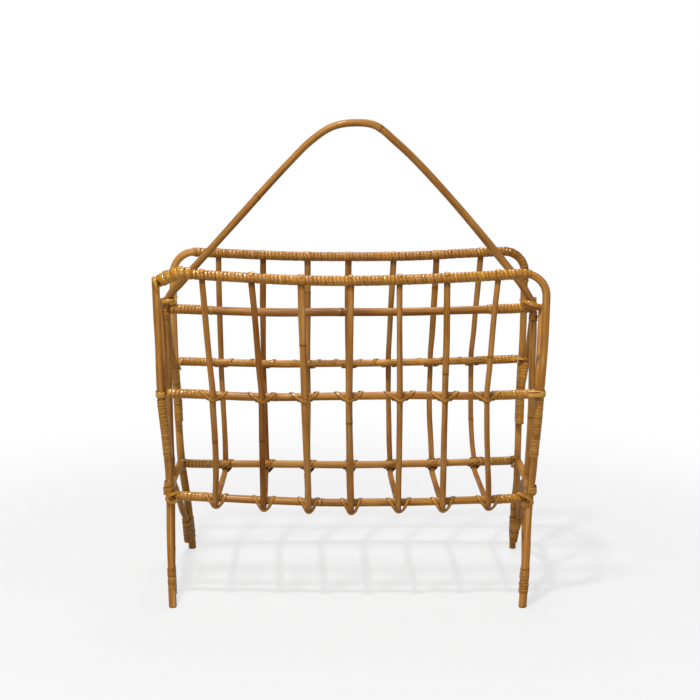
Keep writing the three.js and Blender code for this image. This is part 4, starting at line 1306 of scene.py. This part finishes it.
def mid_crossing(rail, rib):
    """Two passes of the strip that cross in front of a rib, just under the mid rail's middle.

    Each row is a knot: millimetres along, outward and up from where the rib passes the rail, and the way
    the strip faces there. The cane radii are in millimetres too.
    """
    r = rail + LASHING_LIFT
    far = rail + 2 * rib + 0.8
    return [
        (-16.8, -r, 0.5, 0, -1, 0),
        (-15.2, 0, r, 0, 0, 1),
        (-12.8, r * 0.8, r * 0.6, 0, 1, 0.8),
        (-9, r + 0.5, 0.6, -0.1, 1, 0.1),
        (-5, far - 3.6, -1.2, -0.6, 1, 0),
        (-0.8, far, -2.8, 0, 1, 0),
        (3.2, far - 2.4, -4, 0.8, 1, -0.2),
        (5.4, r * 0.8, -4.6, 0.4, 0.7, -0.8),
        (7, -0.6, -r - 0.3, 0, 0, -1),
        (9.6, -r, -1.2, 0, -1, 0),
        (12.8, -r * 0.6, r * 0.8, 0, -0.8, 1),
        (14.8, 0.6, r + 0.1, 0, 0.1, 1),
        (12.6, r * 0.85, r * 0.55, 0, 1, 0.7),
        (8.6, r + 0.6, 0.2, 0.1, 1, 0),
        (5, far - 4.2, -1.8, 0.7, 1, 0),
        (1.2, far + 0.6, -3.2, 0.1, 1, 0),
        (-3, far - 2.2, -4.3, -0.8, 1, -0.2),
        (-5.2, r * 0.8, -4.8, -0.4, 0.7, -0.8),
        (-6.4, -0.8, -r - 0.3, 0, 0, -1),
        (-5, -r - 0.6, -1, 0, -1, 0),
        (4, -r - 0.8, 0.4, 0, -1, 0),
        (15, -r - 0.4, 0.4, 0, -1, 0),
    ]


def cradle(rail, rib):
    """The strip's way under a rib's bend, from one side of it to the other."""
    r = rail + LASHING_LIFT
    low = rail + 2 * rib + 0.6
    return [
        (-6.2, r + 0.6, -2.4, -0.3, 1, -0.1),
        (-3.8, low * 0.62, -low * 0.54, -0.8, 1, -0.4),
        (-1.4, low * 0.52, -low * 0.83, -0.4, 1, -0.6),
        (1.8, low * 0.50, -low * 0.87, 0.3, 1, -0.6),
        (5.4, low * 0.56, -low * 0.62, 0.8, 1, -0.4),
        (8, r + 0.6, -2.8, 0.3, 1, -0.1),
    ]


def bottom_crossing(rail, rib):
    """The strip leaves the bottom rail's inner side, cradles the rib's bend and comes back."""
    r = rail + LASHING_LIFT
    return [
        (-12.2, -r, 0.5, 0, -1, 0),
        (-11, 0, r, 0, 0, 1),
        (-9.4, r * 0.9, r * 0.45, 0, 1, 0.5),
        *cradle(rail, rib),
        (10.2, r * 0.9, r * 0.45, 0, 1, 0.5),
        (12, 0, r, 0, 0, 1),
        (13.6, -r, 0.5, 0, -1, 0),
    ]


def back_bottom_crossing(rail, rib):
    """The strip runs along the rail's outer side, cradles the rib, and slants once over the inner side."""
    r = rail + LASHING_LIFT
    far = rail + 2 * rib + 0.8
    return [
        (-12.5, r, 0.3, 0, 1, 0),
        *cradle(rail, rib),
        (10, r * 0.9, r * 0.5, 0, 1, 0.5),
        (7, 0.4, r + 0.5, 0, 0, 1),
        (4.4, -r * 0.9, r * 0.4, 0, -1, 0.4),
        (0.4, -r - 0.2, -0.8, 0, -1, -0.1),
        (-3.6, -r * 0.75, -r * 0.7, 0, -0.8, -0.8),
        (-6, 0, -r - 0.2, 0, 0, -1),
        (-6.8, r * 0.9, -r * 0.4, 0, 1, -0.4),
        (-4.2, far - 3, 1.2, -0.6, 1, 0.1),
        (0, far + 0.4, 1.8, 0, 1, 0),
        (4.4, far - 3, 1.6, 0.6, 1, 0),
        (12.5, r, 0.3, 0, 1, 0),
    ]


def lashing(level, face, crossing):
    """One strip that ties all ribs to a rail, each crossing a little different."""
    word = f"{FACES[face]}_{level}"
    rail = RAILS[level, face]
    rng = random.Random(word)
    knots = []
    for i in range(RIB_COUNT):
        middle = rib_x(face, level, i)
        stretch = rng.uniform(0.9, 1.08)
        lift = rng.uniform(-0.0004, 0.0004)
        for along, out, up, *facing in crossing(rail.radius * 1000, RIB_CANES[i] * 1000):
            base = rail.at(middle + along / 1000 * stretch)
            place = base + np.array([0, face * out / 1000, up / 1000 + lift])
            knots.append((place, (facing[0], face * facing[1], facing[2])))
    tie(f"{word}_ties", knots, "lashing", width=0.0042, per_span=6, replaces=[f"{word}_lashing"],
        outline=1.15)


def lashings():
    lashing("mid", -1, mid_crossing)
    lashing("mid", 1, mid_crossing)
    lashing("bottom", -1, bottom_crossing)
    lashing("bottom", 1, back_bottom_crossing)


# Knobs where the rib ends are bent over the top rails, under the winding: how far they stand from the
# rail's middle, and how many degrees up from level their middles are
KNOBS = {-1: (FRAME_CANE + 0.0013, 78), 1: (FRAME_CANE + 0.0007, 100)}


def rib_knobs():
    share = np.linspace(-1, 1, 19)
    round_off = np.sqrt(1 - share**2)
    for face, (reach, middle) in KNOBS.items():
        angle = np.radians(middle + 50 * share)
        outward = np.stack([np.zeros_like(angle), face * np.cos(angle), np.sin(angle)], -1)
        for i in range(RIB_COUNT):
            centre = RAILS["top", face].at(rib_x(face, "top", i))
            strip(f"rib_knob_{FACES[face]}_{i + 1}", centre + outward * reach, outward,
                  0.0014 + 0.0046 * round_off, 0.0002 + 0.0008 * round_off, "peel", outline=0.82)


frame_canes()
handle_and_divider()
long_canes()
side_canes()
brace_canes()
rib_canes()
top_windings()
rail_end_windings()
divider_windings()
post_windings()
mid_bands()
joint_bands()
corner_bundle()
corner_wraps()
lashings()
rib_knobs()


# Camera, floor and light

CAMERA_PLACE = (-0.00009, -2.2, 0.6698)
CAMERA_PITCH = math.radians(90 - 10.203)
FOCAL_PIXELS = 1914.8
PHOTO_PIXELS = 700
SENSOR_WIDTH = 36
FLOOR_RINGS = [0.4, 1.0, 2.5, 6.0, 14.0]
FLOOR_SIDES = 64
WHITE = (1, 1, 1, 1)


def camera():
    data = bpy.data.cameras.new("camera")
    data.sensor_width = SENSOR_WIDTH
    data.lens = SENSOR_WIDTH * FOCAL_PIXELS / PHOTO_PIXELS
    data.clip_start = 0.1
    data.clip_end = 50
    made = bpy.data.objects.new("camera", data)
    made.location = CAMERA_PLACE
    made.rotation_euler = (CAMERA_PITCH, 0, 0)
    bpy.context.scene.collection.objects.link(made)
    bpy.context.scene.camera = made


def floor_material():
    """Grey where light falls on it, and seen whiter by the camera the farther it is from the basket."""
    material = bpy.data.materials.new("floor")
    tree = Tree(material)
    place = tree.add("ShaderNodeTexCoord", {}, "Object")
    grain = tree.add("ShaderNodeTexNoise", {"Scale": 60, "Vector": place})
    shade = tree.span(grain, 0, 1, 0.42, 0.46, "LINEAR")
    distance = tree.add("ShaderNodeVectorMath", {0: place}, "Value", operation="LENGTH")
    seen = tree.add("ShaderNodeLightPath", {}, "Is Camera Ray")
    whiteness = tree.calculate("MULTIPLY", tree.span(distance, 0.35, 0.95, 0.68), seen)
    grey = tree.add("ShaderNodeBsdfDiffuse", {"Color": shade})
    white = tree.add("ShaderNodeEmission", {"Color": WHITE})
    mix = tree.add("ShaderNodeMixShader", {0: whiteness, 1: grey, 2: white})
    tree.add("ShaderNodeOutputMaterial", {"Surface": mix})
    return material


def floor():
    verts = [(0, 0, 0)]
    for radius in FLOOR_RINGS:
        for i in range(FLOOR_SIDES):
            angle = 2 * math.pi * i / FLOOR_SIDES
            verts.append((radius * math.cos(angle), radius * math.sin(angle), 0))
    faces = [(0, 1 + i, 1 + (i + 1) % FLOOR_SIDES) for i in range(FLOOR_SIDES)]
    for k in range(len(FLOOR_RINGS) - 1):
        a = 1 + k * FLOOR_SIDES
        b = a + FLOOR_SIDES
        for i in range(FLOOR_SIDES):
            j = (i + 1) % FLOOR_SIDES
            faces.append((a + i, b + i, b + j, a + j))
    mesh = bpy.data.meshes.new("floor")
    mesh.from_pydata(verts, [], faces)
    made = bpy.data.objects.new("floor", mesh)
    bpy.context.scene.collection.objects.link(made)
    mesh.materials.append(floor_material())


# Place, size and watts of each lamp, and what they all point at
LAMPS = {
    "key": ((-0.4, -0.85, 2.35), 0.22, 57),
    "front": ((-0.3, -2.5, 1.2), 1.4, 27),
    "left": ((-2.0, -0.6, 1.1), 1.0, 10),
    "right": ((2.0, -0.6, 1.1), 1.0, 10),
    "top": ((0.1, 0.9, 2.3), 0.8, 26),
}
LAMP_TARGET = Vector((0, 0, 0.28))


def lights():
    for name, (place, size, watts) in LAMPS.items():
        data = bpy.data.lights.new(name, "AREA")
        data.shape = "DISK"
        data.size = size
        data.energy = watts
        made = bpy.data.objects.new(name, data)
        made.location = place
        made.rotation_euler = (LAMP_TARGET - Vector(place)).to_track_quat("-Z", "Y").to_euler()
        bpy.context.scene.collection.objects.link(made)


def studio():
    """A white world that the camera sees, and that lights the basket only a little."""
    world = bpy.data.worlds.new("studio")
    bpy.context.scene.world = world
    tree = Tree(world)
    seen = tree.add("ShaderNodeLightPath", {}, "Is Camera Ray")
    strength = tree.span(seen, 0, 1, 0.1, 1, "LINEAR")
    background = tree.add("ShaderNodeBackground", {"Color": WHITE, "Strength": strength})
    tree.add("ShaderNodeOutputWorld", {"Surface": background})
    bpy.context.scene.view_settings.view_transform = "Standard"


camera()
floor()
lights()
studio()
